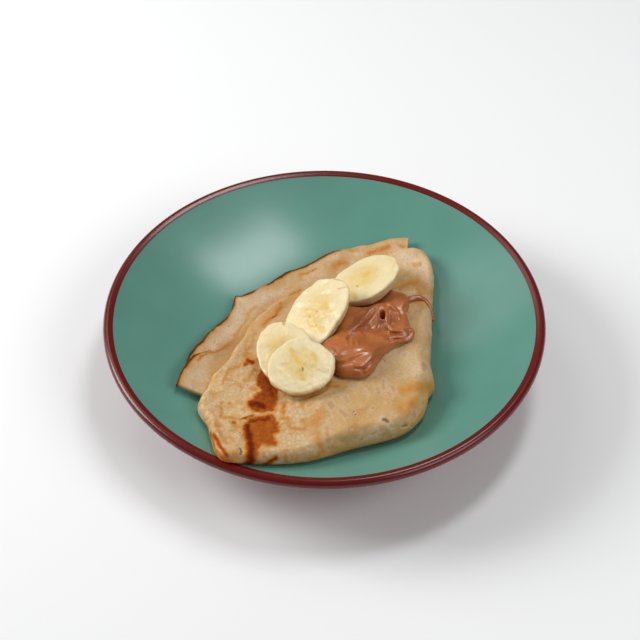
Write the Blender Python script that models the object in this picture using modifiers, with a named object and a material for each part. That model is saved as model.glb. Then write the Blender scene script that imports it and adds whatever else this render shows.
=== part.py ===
"""A folded crepe with banana slices and hazelnut spread, on its shallow stoneware plate.

Metres, +Z up. The origin is on the table, under the middle of the plate.
"""

import math

import bmesh
import bpy
from mathutils import Matrix, Vector
from mathutils.bvhtree import BVHTree

# The plate, turned about Z.
RIM_RADIUS = 0.115
RIM_TOP = 0.0395
RIM_BEAD = 0.0026
WALL = 0.0048
FLOOR_TOP = 0.011
FLOOR_RADIUS = 0.025
WALL_POWER = 1.7
FOOT_RADIUS = 0.048
FOOT_WIDTH = 0.005
FOOT_DEPTH = 0.004
BASE_THICKNESS = 0.006
PLATE_STEPS = 72
WALL_RINGS = 9

# Clearance that touching pieces keep.
GAP = 0.0003

# The folded crepe: one thin sheet, folded into a plump wedge.
SHEET = 0.0022
PACKET_CENTRE = (0.0, -0.025)
PACKET_THIN = 0.0070
PACKET_WAIST = 0.30
PACKET_SEGMENTS = 88
PACKET_SIDE_RINGS = 4
PACKET_TOP_RINGS = 7

# The packet's outline, anticlockwise from its front left corner.
PACKET_OUTLINE = (
    (-0.0440, -0.1030),
    (-0.0120, -0.0977),
    (0.0130, -0.0853),
    (0.0370, -0.0765),
    (0.0480, -0.0645),
    (0.0514, -0.0540),
    (0.0525, -0.0480),
    (0.0561, -0.0408),
    (0.0550, -0.0270),
    (0.0562, -0.0080),
    (0.0580, 0.0200),
    (0.0600, 0.0390),
    (0.0585, 0.0505),
    (0.0530, 0.0575),
    (0.0420, 0.0585),
    (0.0130, 0.0480),
    (-0.0120, 0.0365),
    (-0.0270, 0.0285),
    (-0.0385, 0.0135),
    (-0.0437, 0.0015),
    (-0.0489, -0.0127),
    (-0.0520, -0.0215),
    (-0.0582, -0.0331),
    (-0.0608, -0.0480),
    (-0.0629, -0.0610),
    (-0.0575, -0.0735),
    (-0.0549, -0.0858),
    (-0.0515, -0.0985),
)

# Swellings of the packet: x, y, spread along x, spread along y, height.
PACKET_SWELLS = (
    (-0.0097, -0.0459, 0.0239, 0.0327, 0.0101),
    (0.0323, -0.0162, 0.0264, 0.0464, 0.0127),
    (-0.0080, -0.0110, 0.0140, 0.0130, 0.0020),
    (0.0520, -0.0410, 0.0070, 0.0060, 0.0030),
)

# The back sheet: its cooked rim, from the left, and the line that the packet hides.
BACK_RIM = (
    (-0.0655, -0.0440),
    (-0.0705, -0.0320),
    (-0.0715, -0.0205),
    (-0.0690, -0.0132),
    (-0.0647, -0.0055),
    (-0.0583, 0.0075),
    (-0.0515, 0.0172),
    (-0.0492, 0.0230),
    (-0.0488, 0.0298),
    (-0.0445, 0.0312),
    (-0.0320, 0.0402),
    (-0.0184, 0.0503),
    (0.0010, 0.0608),
    (0.0133, 0.0645),
    (0.0262, 0.0667),
    (0.0373, 0.0677),
    (0.0470, 0.0672),
)
BACK_HIDDEN = (
    (-0.0480, -0.0460),
    (-0.0400, -0.0200),
    (-0.0220, 0.0100),
    (0.0080, 0.0330),
    (0.0440, 0.0440),
)
BACK_GRID = (44, 4)
BACK_LIFT = 0.0009
BACK_RIPPLE = 0.0007
BACK_RIPPLES = 5.5
BACK_STEP = 0.0010
BACK_STEP_AT = 0.44

# The corner flap, folded over the back sheet along its front edge.
FLAP_RIM = (
    (-0.0748, -0.0455),
    (-0.0722, -0.0315),
    (-0.0685, -0.0217),
    (-0.0629, -0.0162),
    (-0.0599, -0.0138),
    (-0.0572, -0.0142),
    (-0.0530, -0.0094),
    (-0.0493, -0.0040),
    (-0.0455, 0.0036),
    (-0.0426, 0.0130),
    (-0.0400, 0.0205),
    (-0.0350, 0.0245),
    (-0.0285, 0.0240),
)
FLAP_HIDDEN = (
    (-0.0500, -0.0510),
    (-0.0460, -0.0360),
    (-0.0400, -0.0100),
    (-0.0250, 0.0150),
)
FLAP_GRID = (24, 4)
FLAP_LIFT = 0.0025
FLAP_CURL = 0.0012

# Banana slices, uppermost first: middle of the cut face, its lean along x and y,
# half length, half width, thickness and turn in degrees.
SLICES = {
    "banana_slice_1": ((-0.0118, -0.0437, 0.0450), (0.014, -0.239), 0.0168, 0.0165, 0.0065, 87),
    "banana_slice_2": ((-0.0202, -0.0304, 0.0410), (-0.069, -0.164), 0.0194, 0.0149, 0.0065, 102),
    "banana_slice_3": ((-0.0035, -0.0013, 0.0415), (-0.468, -0.135), 0.0208, 0.0157, 0.0073, 67),
    "banana_slice_4": ((0.0204, 0.0282, 0.0376), (-0.407, 0.164), 0.0184, 0.0186, 0.0087, 82),
}
SLICE_SIDES = 28
SLICE_CORNER = 0.0009
SLICE_LOBE = 0.015

# The hazelnut spread: its outline where it lies on the packet, anticlockwise.
SPREAD_OUTLINE = (
    (0.0045, -0.0400),
    (0.0080, -0.0440),
    (0.0140, -0.0455),
    (0.0190, -0.0452),
    (0.0228, -0.0425),
    (0.0252, -0.0385),
    (0.0278, -0.0319),
    (0.0315, -0.0265),
    (0.0373, -0.0208),
    (0.0425, -0.0170),
    (0.0447, -0.0125),
    (0.0445, -0.0050),
    (0.0437, 0.0005),
    (0.0432, 0.0060),
    (0.0450, 0.0105),
    (0.0445, 0.0165),
    (0.0400, 0.0200),
    (0.0350, 0.0225),
    (0.0300, 0.0190),
    (0.0190, 0.0110),
    (0.0100, 0.0035),
    (0.0055, -0.0050),
    (0.0020, -0.0150),
    (0.0000, -0.0235),
    (0.0015, -0.0325),
)
SPREAD_CENTRE = (0.0230, -0.0130)
SPREAD_HEIGHT = 0.0062
SPREAD_EDGE = 0.0050
SPREAD_WAIST = 0.20
SPREAD_SEGMENTS = 64
SPREAD_SIDE_RINGS = 3
SPREAD_TOP_RINGS = 7

# Lobes and dips of the spread: x, y, spread along x, spread along y, height.
SPREAD_SWELLS = (
    (0.0090, -0.0270, 0.0070, 0.0070, 0.0018),
    (0.0216, -0.0330, 0.0060, 0.0060, 0.0015),
    (0.0400, 0.0100, 0.0060, 0.0060, 0.0015),
    (0.0290, 0.0035, 0.0035, 0.0030, 0.0030),
    (0.0305, -0.0017, 0.0018, 0.0018, -0.0065),
)

# Folds and creases of the spread: start, end, half width, height.
SPREAD_FOLDS = (
    ((0.0290, 0.0030), (0.0136, -0.0187), 0.0018, 0.0028),
    ((0.0340, -0.0085), (0.0455, -0.0095), 0.0016, 0.0026),
    ((0.0240, -0.0080), (0.0160, -0.0200), 0.0020, -0.0015),
    ((0.0048, -0.0327), (0.0263, -0.0252), 0.0013, -0.0016),
    ((0.0263, -0.0252), (0.0409, -0.0184), 0.0013, -0.0014),
)

# The thread of spread that runs over the packet's side.
THREAD_RADIUS = 0.0011
THREAD_ROUTE = (
    (0.0405, 0.0135),
    (0.0440, 0.0153),
    (0.0488, 0.0158),
    (0.0525, 0.0154),
    (0.0550, 0.0138),
    (0.0563, 0.0112),
    (0.0565, 0.0085),
)


def smooth_line(points, count, closed):
    """Points at even steps along a Catmull-Rom curve through the given ones."""
    knots = [Vector(p) for p in points]
    spans = len(knots) if closed else len(knots) - 1
    fine = []
    for i in range(spans):
        if closed:
            a, b, c, d = (knots[(i + k) % len(knots)] for k in (-1, 0, 1, 2))
        else:
            a, b, c, d = (knots[min(max(i + k, 0), spans)] for k in (-1, 0, 1, 2))
        for step in range(16):
            t = step / 16
            bend = (2 * a - 5 * b + 4 * c - d) * t**2 + (3 * b - a - 3 * c + d) * t**3
            fine.append(0.5 * (2 * b + (c - a) * t + bend))
    fine.append(fine[0].copy() if closed else knots[-1].copy())
    reach = [0.0]
    for p, q in zip(fine, fine[1:]):
        reach.append(reach[-1] + (q - p).length)
    line, k = [], 0
    for i in range(count):
        want = reach[-1] * i / (count if closed else count - 1)
        while k < len(fine) - 2 and reach[k + 1] < want:
            k += 1
        line.append(fine[k].lerp(fine[k + 1], (want - reach[k]) / (reach[k + 1] - reach[k])))
    return line


def plate_surface(x, y):
    """Height of the plate's inner surface."""
    inner = RIM_RADIUS - 2 * RIM_BEAD
    rise = max(math.hypot(x, y) - FLOOR_RADIUS, 0.0) / (inner - FLOOR_RADIUS)
    return FLOOR_TOP + (RIM_TOP - RIM_BEAD / 2 - FLOOR_TOP) * rise**WALL_POWER


def swell(x, y, swells):
    """Sum of smooth swellings at a point."""
    total = 0.0
    for cx, cy, along, across, height in swells:
        total += height * math.exp(-0.5 * (((x - cx) / along) ** 2 + ((y - cy) / across) ** 2))
    return total


def fold(x, y, folds):
    """Sum of long folds and creases at a point."""
    point, total = Vector((x, y)), 0.0
    for start, end, width, height in folds:
        start, run = Vector(start), Vector(end) - Vector(start)
        share = min(max((point - start).dot(run) / run.length_squared, 0.0), 1.0)
        away = (point - start - run * share).length
        total += height * math.exp(-0.5 * (away / width) ** 2)
    return total


def packet_thickness(x, y):
    """Height of the packet's upper skin over the plate, away from its edge."""
    return PACKET_THIN + swell(x, y, PACKET_SWELLS)


def material(name, colour, roughness):
    """A plain Principled material."""
    made = bpy.data.materials.new(name)
    made.use_nodes = True
    shader = made.node_tree.nodes["Principled BSDF"]
    shader.inputs["Base Color"].default_value = (*colour, 1)
    shader.inputs["Roughness"].default_value = roughness
    shader.inputs["Metallic"].default_value = 0.0
    return made


def collection(name):
    """A new collection in the scene."""
    made = bpy.data.collections.new(name)
    bpy.context.scene.collection.children.link(made)
    return made


def place(obj, name, home, finish=None):
    """Names an object, moves it to a collection and gives it its finish."""
    for old in list(obj.users_collection):
        old.objects.unlink(obj)
    home.objects.link(obj)
    obj.name = obj.data.name = name
    if finish:
        obj.data.materials.clear()
        obj.data.materials.append(finish)
    return obj


def evaluated_mesh(obj):
    """A new mesh of an object as its modifiers leave it."""
    graph = bpy.context.evaluated_depsgraph_get()
    return bpy.data.meshes.new_from_object(obj.evaluated_get(graph))


def apply_modifiers(obj):
    """Gives an object the mesh that its modifiers make."""
    made = evaluated_mesh(obj)
    name, old = obj.data.name, obj.data
    obj.modifiers.clear()
    obj.data = made
    bpy.data.meshes.remove(old)
    made.name = name
    return obj


def combine(obj, operation, others):
    """Adds a Boolean of an object with a whole collection, and applies it."""
    modifier = obj.modifiers.new(operation.lower(), "BOOLEAN")
    modifier.operation = operation
    modifier.operand_type = "COLLECTION"
    modifier.collection = others
    return apply_modifiers(obj)


def clear_collection(group):
    """Removes a collection and its objects, once a Boolean has used them."""
    for obj in list(group.objects):
        bpy.data.objects.remove(obj)
    bpy.data.collections.remove(group)


def shade(obj, degrees=40):
    """Shades an object smooth, apart from its sharp edges."""
    obj.data.shade_smooth()
    obj.data.set_sharp_from_angle(angle=math.radians(degrees))


def plate_profile():
    """The plate's section: along its inside, over the rim and down under the foot."""
    inner = RIM_RADIUS - 2 * RIM_BEAD
    profile = [(0.0, FLOOR_TOP)]
    for i in range(WALL_RINGS + 1):
        r = FLOOR_RADIUS + (inner - FLOOR_RADIUS) * i / WALL_RINGS
        profile.append((r, plate_surface(r, 0)))
    bead = (RIM_RADIUS - RIM_BEAD, RIM_TOP - RIM_BEAD)
    for degrees in (100, 60, 20, -20, -60):
        angle = math.radians(degrees)
        profile.append((bead[0] + RIM_BEAD * math.cos(angle), bead[1] + RIM_BEAD * math.sin(angle)))
    for share in (0.82, 0.6, 0.38):
        r = FOOT_RADIUS + (inner - FOOT_RADIUS) * share
        profile.append((r, plate_surface(r, 0) - WALL))
    outer, within = FOOT_RADIUS + FOOT_WIDTH / 2, FOOT_RADIUS - FOOT_WIDTH / 2
    return profile + [
        (outer + 0.003, FOOT_DEPTH + 0.004),
        (outer, FOOT_DEPTH / 2),
        (outer - 0.0008, 0.0),
        (within + 0.0008, 0.0),
        (within, FLOOR_TOP - BASE_THICKNESS),
        (0.0, FLOOR_TOP - BASE_THICKNESS),
    ]


def build_plate(home, finish):
    """The plate, one profile turned about Z."""
    profile = [(r, 0.0, z) for r, z in plate_profile()]
    mesh = bpy.data.meshes.new("plate")
    mesh.from_pydata(profile, [(i, i + 1) for i in range(len(profile) - 1)], [])
    obj = bpy.data.objects.new("plate", mesh)
    bpy.context.scene.collection.objects.link(obj)
    screw = obj.modifiers.new("turn", "SCREW")
    screw.steps = screw.render_steps = PLATE_STEPS
    screw.use_merge_vertices = True
    screw.merge_threshold = 0.00001
    place(obj, "plate", home, finish)
    shade(apply_modifiers(obj))
    return obj


def pillow(outline, centre, side_rings, top_rings, point_at):
    """A closed pillow, a sphere whose columns of vertices run out to an outline's points."""
    segments, rings = len(outline), 2 * (side_rings + top_rings)
    bpy.ops.mesh.primitive_uv_sphere_add(segments=segments, ring_count=rings, radius=1.0)
    obj = bpy.context.object
    centre = Vector(centre)
    for vertex in obj.data.vertices:
        column = round(math.atan2(vertex.co.y, vertex.co.x) % math.tau / math.tau * segments)
        ring = round(math.acos(max(-1.0, min(1.0, vertex.co.z))) / math.pi * rings)
        over = ring <= rings // 2
        step = ring if over else rings - ring
        turn = min((rings // 2 - step) / side_rings, 1.0) * math.pi / 2
        share = min(step / top_rings, 1.0)
        vertex.co = point_at(centre, outline[column % segments], over, share, turn)
    return obj


def packet_point(centre, edge, over, share, turn):
    """Where one vertex of the packet goes: over or under, inside or round its edge."""
    out = edge - centre
    full = packet_thickness(edge.x, edge.y)
    width = (0.55 if over else 0.3) * full
    far = (out.length - width) * share**0.8 + width * math.cos(turn) * (share == 1.0)
    spot = centre + out.normalized() * far
    base = plate_surface(spot.x, spot.y) + GAP
    waist = PACKET_WAIST * full
    if over:
        return Vector((*spot, base + waist + (packet_thickness(*spot) - waist) * math.sin(turn)))
    return Vector((*spot, base + waist * (1 - math.sin(turn))))


def sheet(outer, inner, grid, height):
    """A sheet of the crepe between two smooth lines, from a grid with Solidify."""
    along, across = grid
    bpy.ops.mesh.primitive_grid_add(x_subdivisions=along, y_subdivisions=across, size=2.0)
    obj = bpy.context.object
    rim, hidden = smooth_line(outer, along + 1, False), smooth_line(inner, along + 1, False)
    for vertex in obj.data.vertices:
        column = round((vertex.co.x + 1) / 2 * along)
        out = (vertex.co.y + 1) / 2
        spot = hidden[column].lerp(rim[column], out)
        lift = height(column / along, out) + GAP + SHEET / 2
        vertex.co = (*spot, plate_surface(*spot) + lift)
    solidify = obj.modifiers.new("thickness", "SOLIDIFY")
    solidify.thickness = SHEET
    solidify.offset = 0.0
    return apply_modifiers(obj)


def back_height(along, out):
    """Lift of the back sheet, which ripples towards its rim and steps up past its notch."""
    ripple = BACK_RIPPLE * (1 + math.sin(BACK_RIPPLES * math.tau * along)) * out**2
    step = BACK_STEP / (1 + math.exp((BACK_STEP_AT - along) / 0.012))
    return BACK_LIFT + ripple + step


def flap_height(along, out):
    """Lift of the corner flap, whose rim curls up a little."""
    return FLAP_LIFT + FLAP_CURL * out**2 * (1 + math.sin(math.tau * along))


def build_crepe(home, finish):
    """The crepe: its packet, back sheet and flap, joined in one solid."""
    outline = smooth_line(PACKET_OUTLINE, PACKET_SEGMENTS, True)
    packet = pillow(outline, PACKET_CENTRE, PACKET_SIDE_RINGS, PACKET_TOP_RINGS, packet_point)
    place(packet, "crepe", home, finish)
    layers = collection("crepe_layers")
    place(sheet(BACK_RIM, BACK_HIDDEN, BACK_GRID, back_height), "back_sheet", layers, finish)
    place(sheet(FLAP_RIM, FLAP_HIDDEN, FLAP_GRID, flap_height), "flap", layers, finish)
    combine(packet, "UNION", layers)
    clear_collection(layers)
    return packet


def slice_frame(centre, lean, turn):
    """Stands a slice's cut face at its middle, leaning and turned."""
    normal = Vector((*lean, math.sqrt(1 - lean[0] ** 2 - lean[1] ** 2)))
    across = Vector((0, 1, 0)).cross(normal).normalized()
    frame = Matrix((across, normal.cross(across), normal)).transposed().to_4x4()
    return Matrix.Translation(centre) @ frame @ Matrix.Rotation(math.radians(turn), 4, "Z")


def build_slice(name, home, finish, extra=0.0):
    """One banana slice, or the cutter for it where extra is its clearance."""
    centre, lean, half_length, half_width, thickness, turn = SLICES[name]
    bpy.ops.mesh.primitive_cylinder_add(vertices=SLICE_SIDES, radius=1.0, depth=1.0)
    obj = bpy.context.object
    for vertex in obj.data.vertices:
        angle = math.atan2(vertex.co.y, vertex.co.x)
        lobe = 1 + SLICE_LOBE * math.cos(3 * angle + math.radians(turn))
        vertex.co.x *= half_length * lobe + extra
        vertex.co.y *= half_width * lobe + extra
        vertex.co.z = (vertex.co.z - 0.5) * thickness + (extra if vertex.co.z > 0 else -extra)
    bevel = obj.modifiers.new("corner", "BEVEL")
    bevel.width = SLICE_CORNER
    bevel.segments = 1
    obj.matrix_world = slice_frame(centre, lean, turn)
    place(obj, name if not extra else f"{name}_room", home, finish)
    apply_modifiers(obj)
    return obj


def build_slices(home, cutters, finish):
    """The banana slices, each pressed to fit under the ones above it."""
    rooms = []
    for name in SLICES:
        obj = build_slice(name, home, finish)
        for room in rooms:
            modifier = obj.modifiers.new(f"under_{room.name}", "BOOLEAN")
            modifier.operation = "DIFFERENCE"
            modifier.object = room
        shade(apply_modifiers(obj))
        room = build_slice(name, cutters, finish, GAP)
        room.hide_render = True
        room.display_type = "WIRE"
        rooms.append(room)


def ground(tree, spot):
    """Where a surface lies straight below a point in plan, and its normal there."""
    place_on, normal, _, _ = tree.ray_cast(Vector((*spot, 1.0)), Vector((0, 0, -1)))
    return place_on, normal


def spread_shape(tree):
    """A function that gives the spread's vertices, laid on the crepe."""

    def point_at(centre, edge, over, share, turn):
        out = edge - centre
        width = SPREAD_EDGE if over else SPREAD_EDGE / 3
        far = (out.length - width) * share**0.8 + width * math.cos(turn) * (share == 1.0)
        spot = centre + out.normalized() * far
        base = ground(tree, spot)[0].z + GAP
        waist = SPREAD_WAIST * SPREAD_HEIGHT
        if not over:
            return Vector((*spot, base + waist * (1 - math.sin(turn))))
        relief = swell(*spot, SPREAD_SWELLS) + fold(*spot, SPREAD_FOLDS)
        return Vector((*spot, base + waist + (SPREAD_HEIGHT + relief - waist) * math.sin(turn)))

    return point_at


def build_thread(tree, home, finish):
    """The thread of spread, a round tube laid over the packet's side."""
    route = []
    for spot in smooth_line(THREAD_ROUTE, 16, False):
        place_on, normal = ground(tree, spot)
        route.append(place_on + normal * (THREAD_RADIUS + GAP))
    curve = bpy.data.curves.new("thread", "CURVE")
    curve.dimensions = "3D"
    curve.bevel_depth = THREAD_RADIUS
    curve.bevel_resolution = 1
    curve.use_fill_caps = True
    spline = curve.splines.new("POLY")
    spline.points.add(len(route) - 1)
    for point, co in zip(spline.points, route):
        point.co = (*co, 1)
    guide = bpy.data.objects.new("thread_guide", curve)
    bpy.context.scene.collection.objects.link(guide)
    mesh = evaluated_mesh(guide)
    bm = bmesh.new()
    bm.from_mesh(mesh)
    bmesh.ops.remove_doubles(bm, verts=bm.verts, dist=0.000001)
    bm.to_mesh(mesh)
    bm.free()
    tube = bpy.data.objects.new("thread", mesh)
    bpy.context.scene.collection.objects.link(tube)
    tube.matrix_world = guide.matrix_world
    bpy.data.objects.remove(guide)
    return place(tube, "thread", home, finish)


def build_spread(tree, home, finish):
    """The spread: a folded blob and its thread, joined in one solid."""
    outline = smooth_line(SPREAD_OUTLINE, SPREAD_SEGMENTS, True)
    blob = pillow(outline, SPREAD_CENTRE, SPREAD_SIDE_RINGS, SPREAD_TOP_RINGS, spread_shape(tree))
    place(blob, "chocolate_spread", home, finish)
    threads = collection("threads")
    build_thread(tree, threads, finish)
    combine(blob, "UNION", threads)
    clear_collection(threads)
    return blob


def main():
    """Builds the plate, the crepe and what lies on it."""
    for obj in list(bpy.data.objects):
        bpy.data.objects.remove(obj)
    home, cutters = collection("folded_crepe"), collection("cutters")
    glaze = material("stoneware_glaze", (0.13, 0.30, 0.24), 0.35)
    batter = material("crepe_batter", (0.63, 0.43, 0.24), 0.6)
    fruit = material("banana_flesh", (0.85, 0.72, 0.42), 0.45)
    cocoa = material("hazelnut_spread", (0.36, 0.13, 0.05), 0.25)

    build_plate(home, glaze)
    crepe = build_crepe(home, batter)
    tree = BVHTree.FromObject(crepe, bpy.context.evaluated_depsgraph_get())
    build_slices(home, cutters, fruit)
    spread = build_spread(tree, home, cocoa)
    for obj in (crepe, spread):
        shade(combine(obj, "DIFFERENCE", cutters))


if __name__ == "__main__":
    main()
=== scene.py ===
"""The looks of the folded crepe, its toppings and its plate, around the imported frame.

Metres, +Z up. The origin is on the table, under the middle of the plate. Places that the photo
shows are given in its pixels, on the 640 by 640 frame, and are carried onto the food by PhotoView.
"""

import itertools
import logging
import math
from dataclasses import dataclass, field
from enum import Enum
from typing import Callable, Optional, Sequence, Union

import bmesh
import bpy
import numpy as np
from mathutils import Matrix, Vector

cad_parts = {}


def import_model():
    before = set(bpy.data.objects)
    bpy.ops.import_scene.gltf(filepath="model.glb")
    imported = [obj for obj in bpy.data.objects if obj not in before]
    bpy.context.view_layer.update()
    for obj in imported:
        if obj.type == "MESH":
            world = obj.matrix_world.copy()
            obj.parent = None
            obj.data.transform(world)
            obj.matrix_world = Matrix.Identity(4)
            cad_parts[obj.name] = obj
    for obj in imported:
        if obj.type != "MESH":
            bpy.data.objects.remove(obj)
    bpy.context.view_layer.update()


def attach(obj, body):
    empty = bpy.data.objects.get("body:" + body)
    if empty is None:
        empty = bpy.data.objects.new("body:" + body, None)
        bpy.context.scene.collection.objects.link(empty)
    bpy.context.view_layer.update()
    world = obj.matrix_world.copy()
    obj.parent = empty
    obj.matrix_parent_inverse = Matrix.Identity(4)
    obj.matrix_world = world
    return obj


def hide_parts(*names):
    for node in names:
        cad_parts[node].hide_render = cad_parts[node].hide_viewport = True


LOG = logging.getLogger("folded_crepe")
BODY = "root"
MM = 0.001
GAP = 0.3 * MM
WELD = 0.001 * MM

Points = np.ndarray
Route = Sequence[Sequence[float]]


def tint(red: float, green: float, blue: float) -> tuple[float, float, float]:
    """Turns a colour from 0 to 255 a channel, as a screen shows it, into linear light.

    Args:
        red: The red channel.
        green: The green channel.
        blue: The blue channel.

    Returns:
        The linear colour.
    """
    shown = (red / 255, green / 255, blue / 255)
    return tuple(c / 12.92 if c <= 0.04045 else ((c + 0.055) / 1.055) ** 2.4 for c in shown)


def smooth_line(points: Route, count: int, closed: bool = False) -> Points:
    """Points at even steps along a Catmull-Rom curve.

    Args:
        points: The knots that the curve passes through.
        count: How many points to return.
        closed: Whether the curve goes back to its first knot.

    Returns:
        The points, as rows.
    """
    knots = np.asarray(points, float)
    spans = len(knots) if closed else len(knots) - 1
    steps = np.linspace(0, 1, 16, endpoint=False)[:, None]
    fine = []
    for i in range(spans):
        near = [i + k for k in (-1, 0, 1, 2)]
        a, b, c, d = (knots[k % len(knots) if closed else min(max(k, 0), spans)] for k in near)
        bend = (2 * a - 5 * b + 4 * c - d) * steps**2 + (3 * b - a - 3 * c + d) * steps**3
        fine.append(0.5 * (2 * b + (c - a) * steps + bend))
    fine = np.concatenate([*fine, knots[:1] if closed else knots[-1:]])
    reach = np.concatenate([[0], np.cumsum(np.linalg.norm(np.diff(fine, axis=0), axis=1))])
    wanted = reach[-1] * np.arange(count) / (count if closed else count - 1)
    return np.stack([np.interp(wanted, reach, fine[:, k]) for k in range(fine.shape[1])], axis=1)


def step_up(values: Points, low: float, high: float) -> Points:
    """A smooth step from 0 at low to 1 at high."""
    share = np.clip((values - low) / (high - low), 0, 1)
    return share * share * (3 - 2 * share)


class Noise:
    """Smooth value noise on arrays of points, the same in every run."""

    CELLS = 32

    def __init__(self, seed: int) -> None:
        """Draws the table of values.

        Args:
            seed: Seed of the random draw.
        """
        self.table = np.random.default_rng(seed).random((self.CELLS,) * 3)

    def __call__(self, points: Points, size: float, octaves: int = 1) -> Points:
        """Noise from about -1 to 1.

        Args:
            points: Points as rows of three.
            size: Size of the largest swellings, in the points' unit.
            octaves: How many sizes are summed, each half as large as the last.

        Returns:
            One value a point.
        """
        total = np.zeros(len(points))
        for octave in range(octaves):
            place = points / size * 2**octave + 7.3 * octave
            cell = np.floor(place).astype(int)
            part = place - cell
            part = part * part * (3 - 2 * part)
            for corner in itertools.product((0, 1), repeat=3):
                weight = np.prod(np.where(corner, part, 1 - part), axis=1)
                index = (cell + corner) % self.CELLS
                total += weight * (self.table[index[:, 0], index[:, 1], index[:, 2]] * 2 - 1) / 2**octave
        return total


@dataclass(frozen=True)
class Nearest:
    """How points lie to a route: their distance, the side they are on and how far along."""

    distance: Points
    side: Points
    share: Points


def nearest(points: Points, route: Route) -> Nearest:
    """Finds how points in a plane lie to a route of straight runs.

    Args:
        points: Points as rows of two.
        route: The route's points.

    Returns:
        The distance, the side (1 to the left of the route, -1 to the right) and the share along.
    """
    line = np.asarray(route, float)
    distance = np.full(len(points), np.inf)
    side = np.ones(len(points))
    share = np.zeros(len(points))
    runs = max(len(line) - 1, 1)
    for i in range(runs):
        start, end = line[i], line[min(i + 1, len(line) - 1)]
        run = end - start
        away = points - start
        along = np.clip(away @ run / max(run @ run, 1e-12), 0, 1)
        gone = away - along[:, None] * run
        far = np.hypot(gone[:, 0], gone[:, 1])
        closer = far < distance
        distance = np.where(closer, far, distance)
        side = np.where(closer, np.sign(run[0] * away[:, 1] - run[1] * away[:, 0] + 1e-12), side)
        share = np.where(closer, (i + along) / runs, share)
    return Nearest(distance, side, share)


@dataclass(frozen=True)
class PhotoView:
    """Where the photo was taken from, and what its pixels look at."""

    elevation: float = 45.4
    distance: float = 0.8
    aim: tuple[float, float, float] = (-0.0023, -0.0053, 0.038)
    lens: float = 86.68
    sensor: float = 36.0
    frame: int = 640

    def axes(self) -> tuple[Vector, Vector, Vector]:
        """The view's right, up and forward directions."""
        rise = math.radians(self.elevation)
        forward = Vector((0, math.cos(rise), -math.sin(rise)))
        return Vector((1, 0, 0)), Vector((0, math.sin(rise), math.cos(rise))), forward

    def eye(self) -> Vector:
        """Where the camera stands."""
        return Vector(self.aim) - self.distance * self.axes()[2]

    def pixels(self, points: Points) -> Points:
        """Where points show in the photo.

        Args:
            points: Points as rows of three.

        Returns:
            Their pixels, as rows of two.
        """
        right, up, forward = (np.array(axis) for axis in self.axes())
        away = points - np.array(self.eye())
        scale = self.lens / self.sensor * self.frame / (away @ forward)
        middle = self.frame / 2
        return np.stack([middle + scale * (away @ right), middle - scale * (away @ up)], axis=1)

    def facing(self, points: Points, normals: Points) -> Points:
        """How far a surface looks towards the camera, from 0 for what the photo can't show to 1."""
        to_eye = np.array(self.eye()) - points
        to_eye /= np.linalg.norm(to_eye, axis=1)[:, None]
        return step_up(np.sum(to_eye * normals, axis=1), 0.0, 0.25)

    def place_camera(self) -> None:
        """Makes the camera and gives it to the scene."""
        camera = bpy.data.cameras.new("camera")
        camera.lens, camera.sensor_width = self.lens, self.sensor
        camera.clip_start = 0.05
        obj = bpy.data.objects.new("camera", camera)
        bpy.context.scene.collection.objects.link(obj)
        obj.location = self.eye()
        obj.rotation_euler = (math.radians(90 - self.elevation), 0, 0)
        bpy.context.scene.camera = obj


PHOTO = PhotoView()


class Signal:
    """A socket's value in a material. Arithmetic on it adds the nodes that work it out."""

    def __init__(self, shader: "Shader", socket: bpy.types.NodeSocket) -> None:
        """Wraps a socket.

        Args:
            shader: The material that the socket belongs to.
            socket: An output socket.
        """
        self.shader = shader
        self.socket = socket

    def maths(self, operation: str, *others: "Value", swap: bool = False) -> "Signal":
        """Adds a Math node.

        Args:
            operation: The node's operation.
            others: The other values, in order.
            swap: Whether this value comes last.

        Returns:
            The result.
        """
        values = (*others, self) if swap else (self, *others)
        return self.shader.node("Math", {"operation": operation}, values)

    def __add__(self, other: "Value") -> "Signal":
        """This plus another."""
        return self.maths("ADD", other)

    def __sub__(self, other: "Value") -> "Signal":
        """This less another."""
        return self.maths("SUBTRACT", other)

    def __rsub__(self, other: "Value") -> "Signal":
        """Another less this."""
        return self.maths("SUBTRACT", other, swap=True)

    def __mul__(self, other: "Value") -> "Signal":
        """This times another."""
        return self.maths("MULTIPLY", other)

    __radd__ = __add__

    def most(self, other: "Value") -> "Signal":
        """The larger of this and another."""
        return self.maths("MAXIMUM", other)

    def band(self, low: "Value", high: "Value") -> "Signal":
        """A smooth step from 0 at low to 1 at high."""
        settings = {"interpolation_type": "SMOOTHSTEP"}
        return self.shader.node("MapRange", settings, {0: self, 1: low, 2: high, 3: 0.0, 4: 1.0})


Value = Union[Signal, float, tuple]


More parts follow.
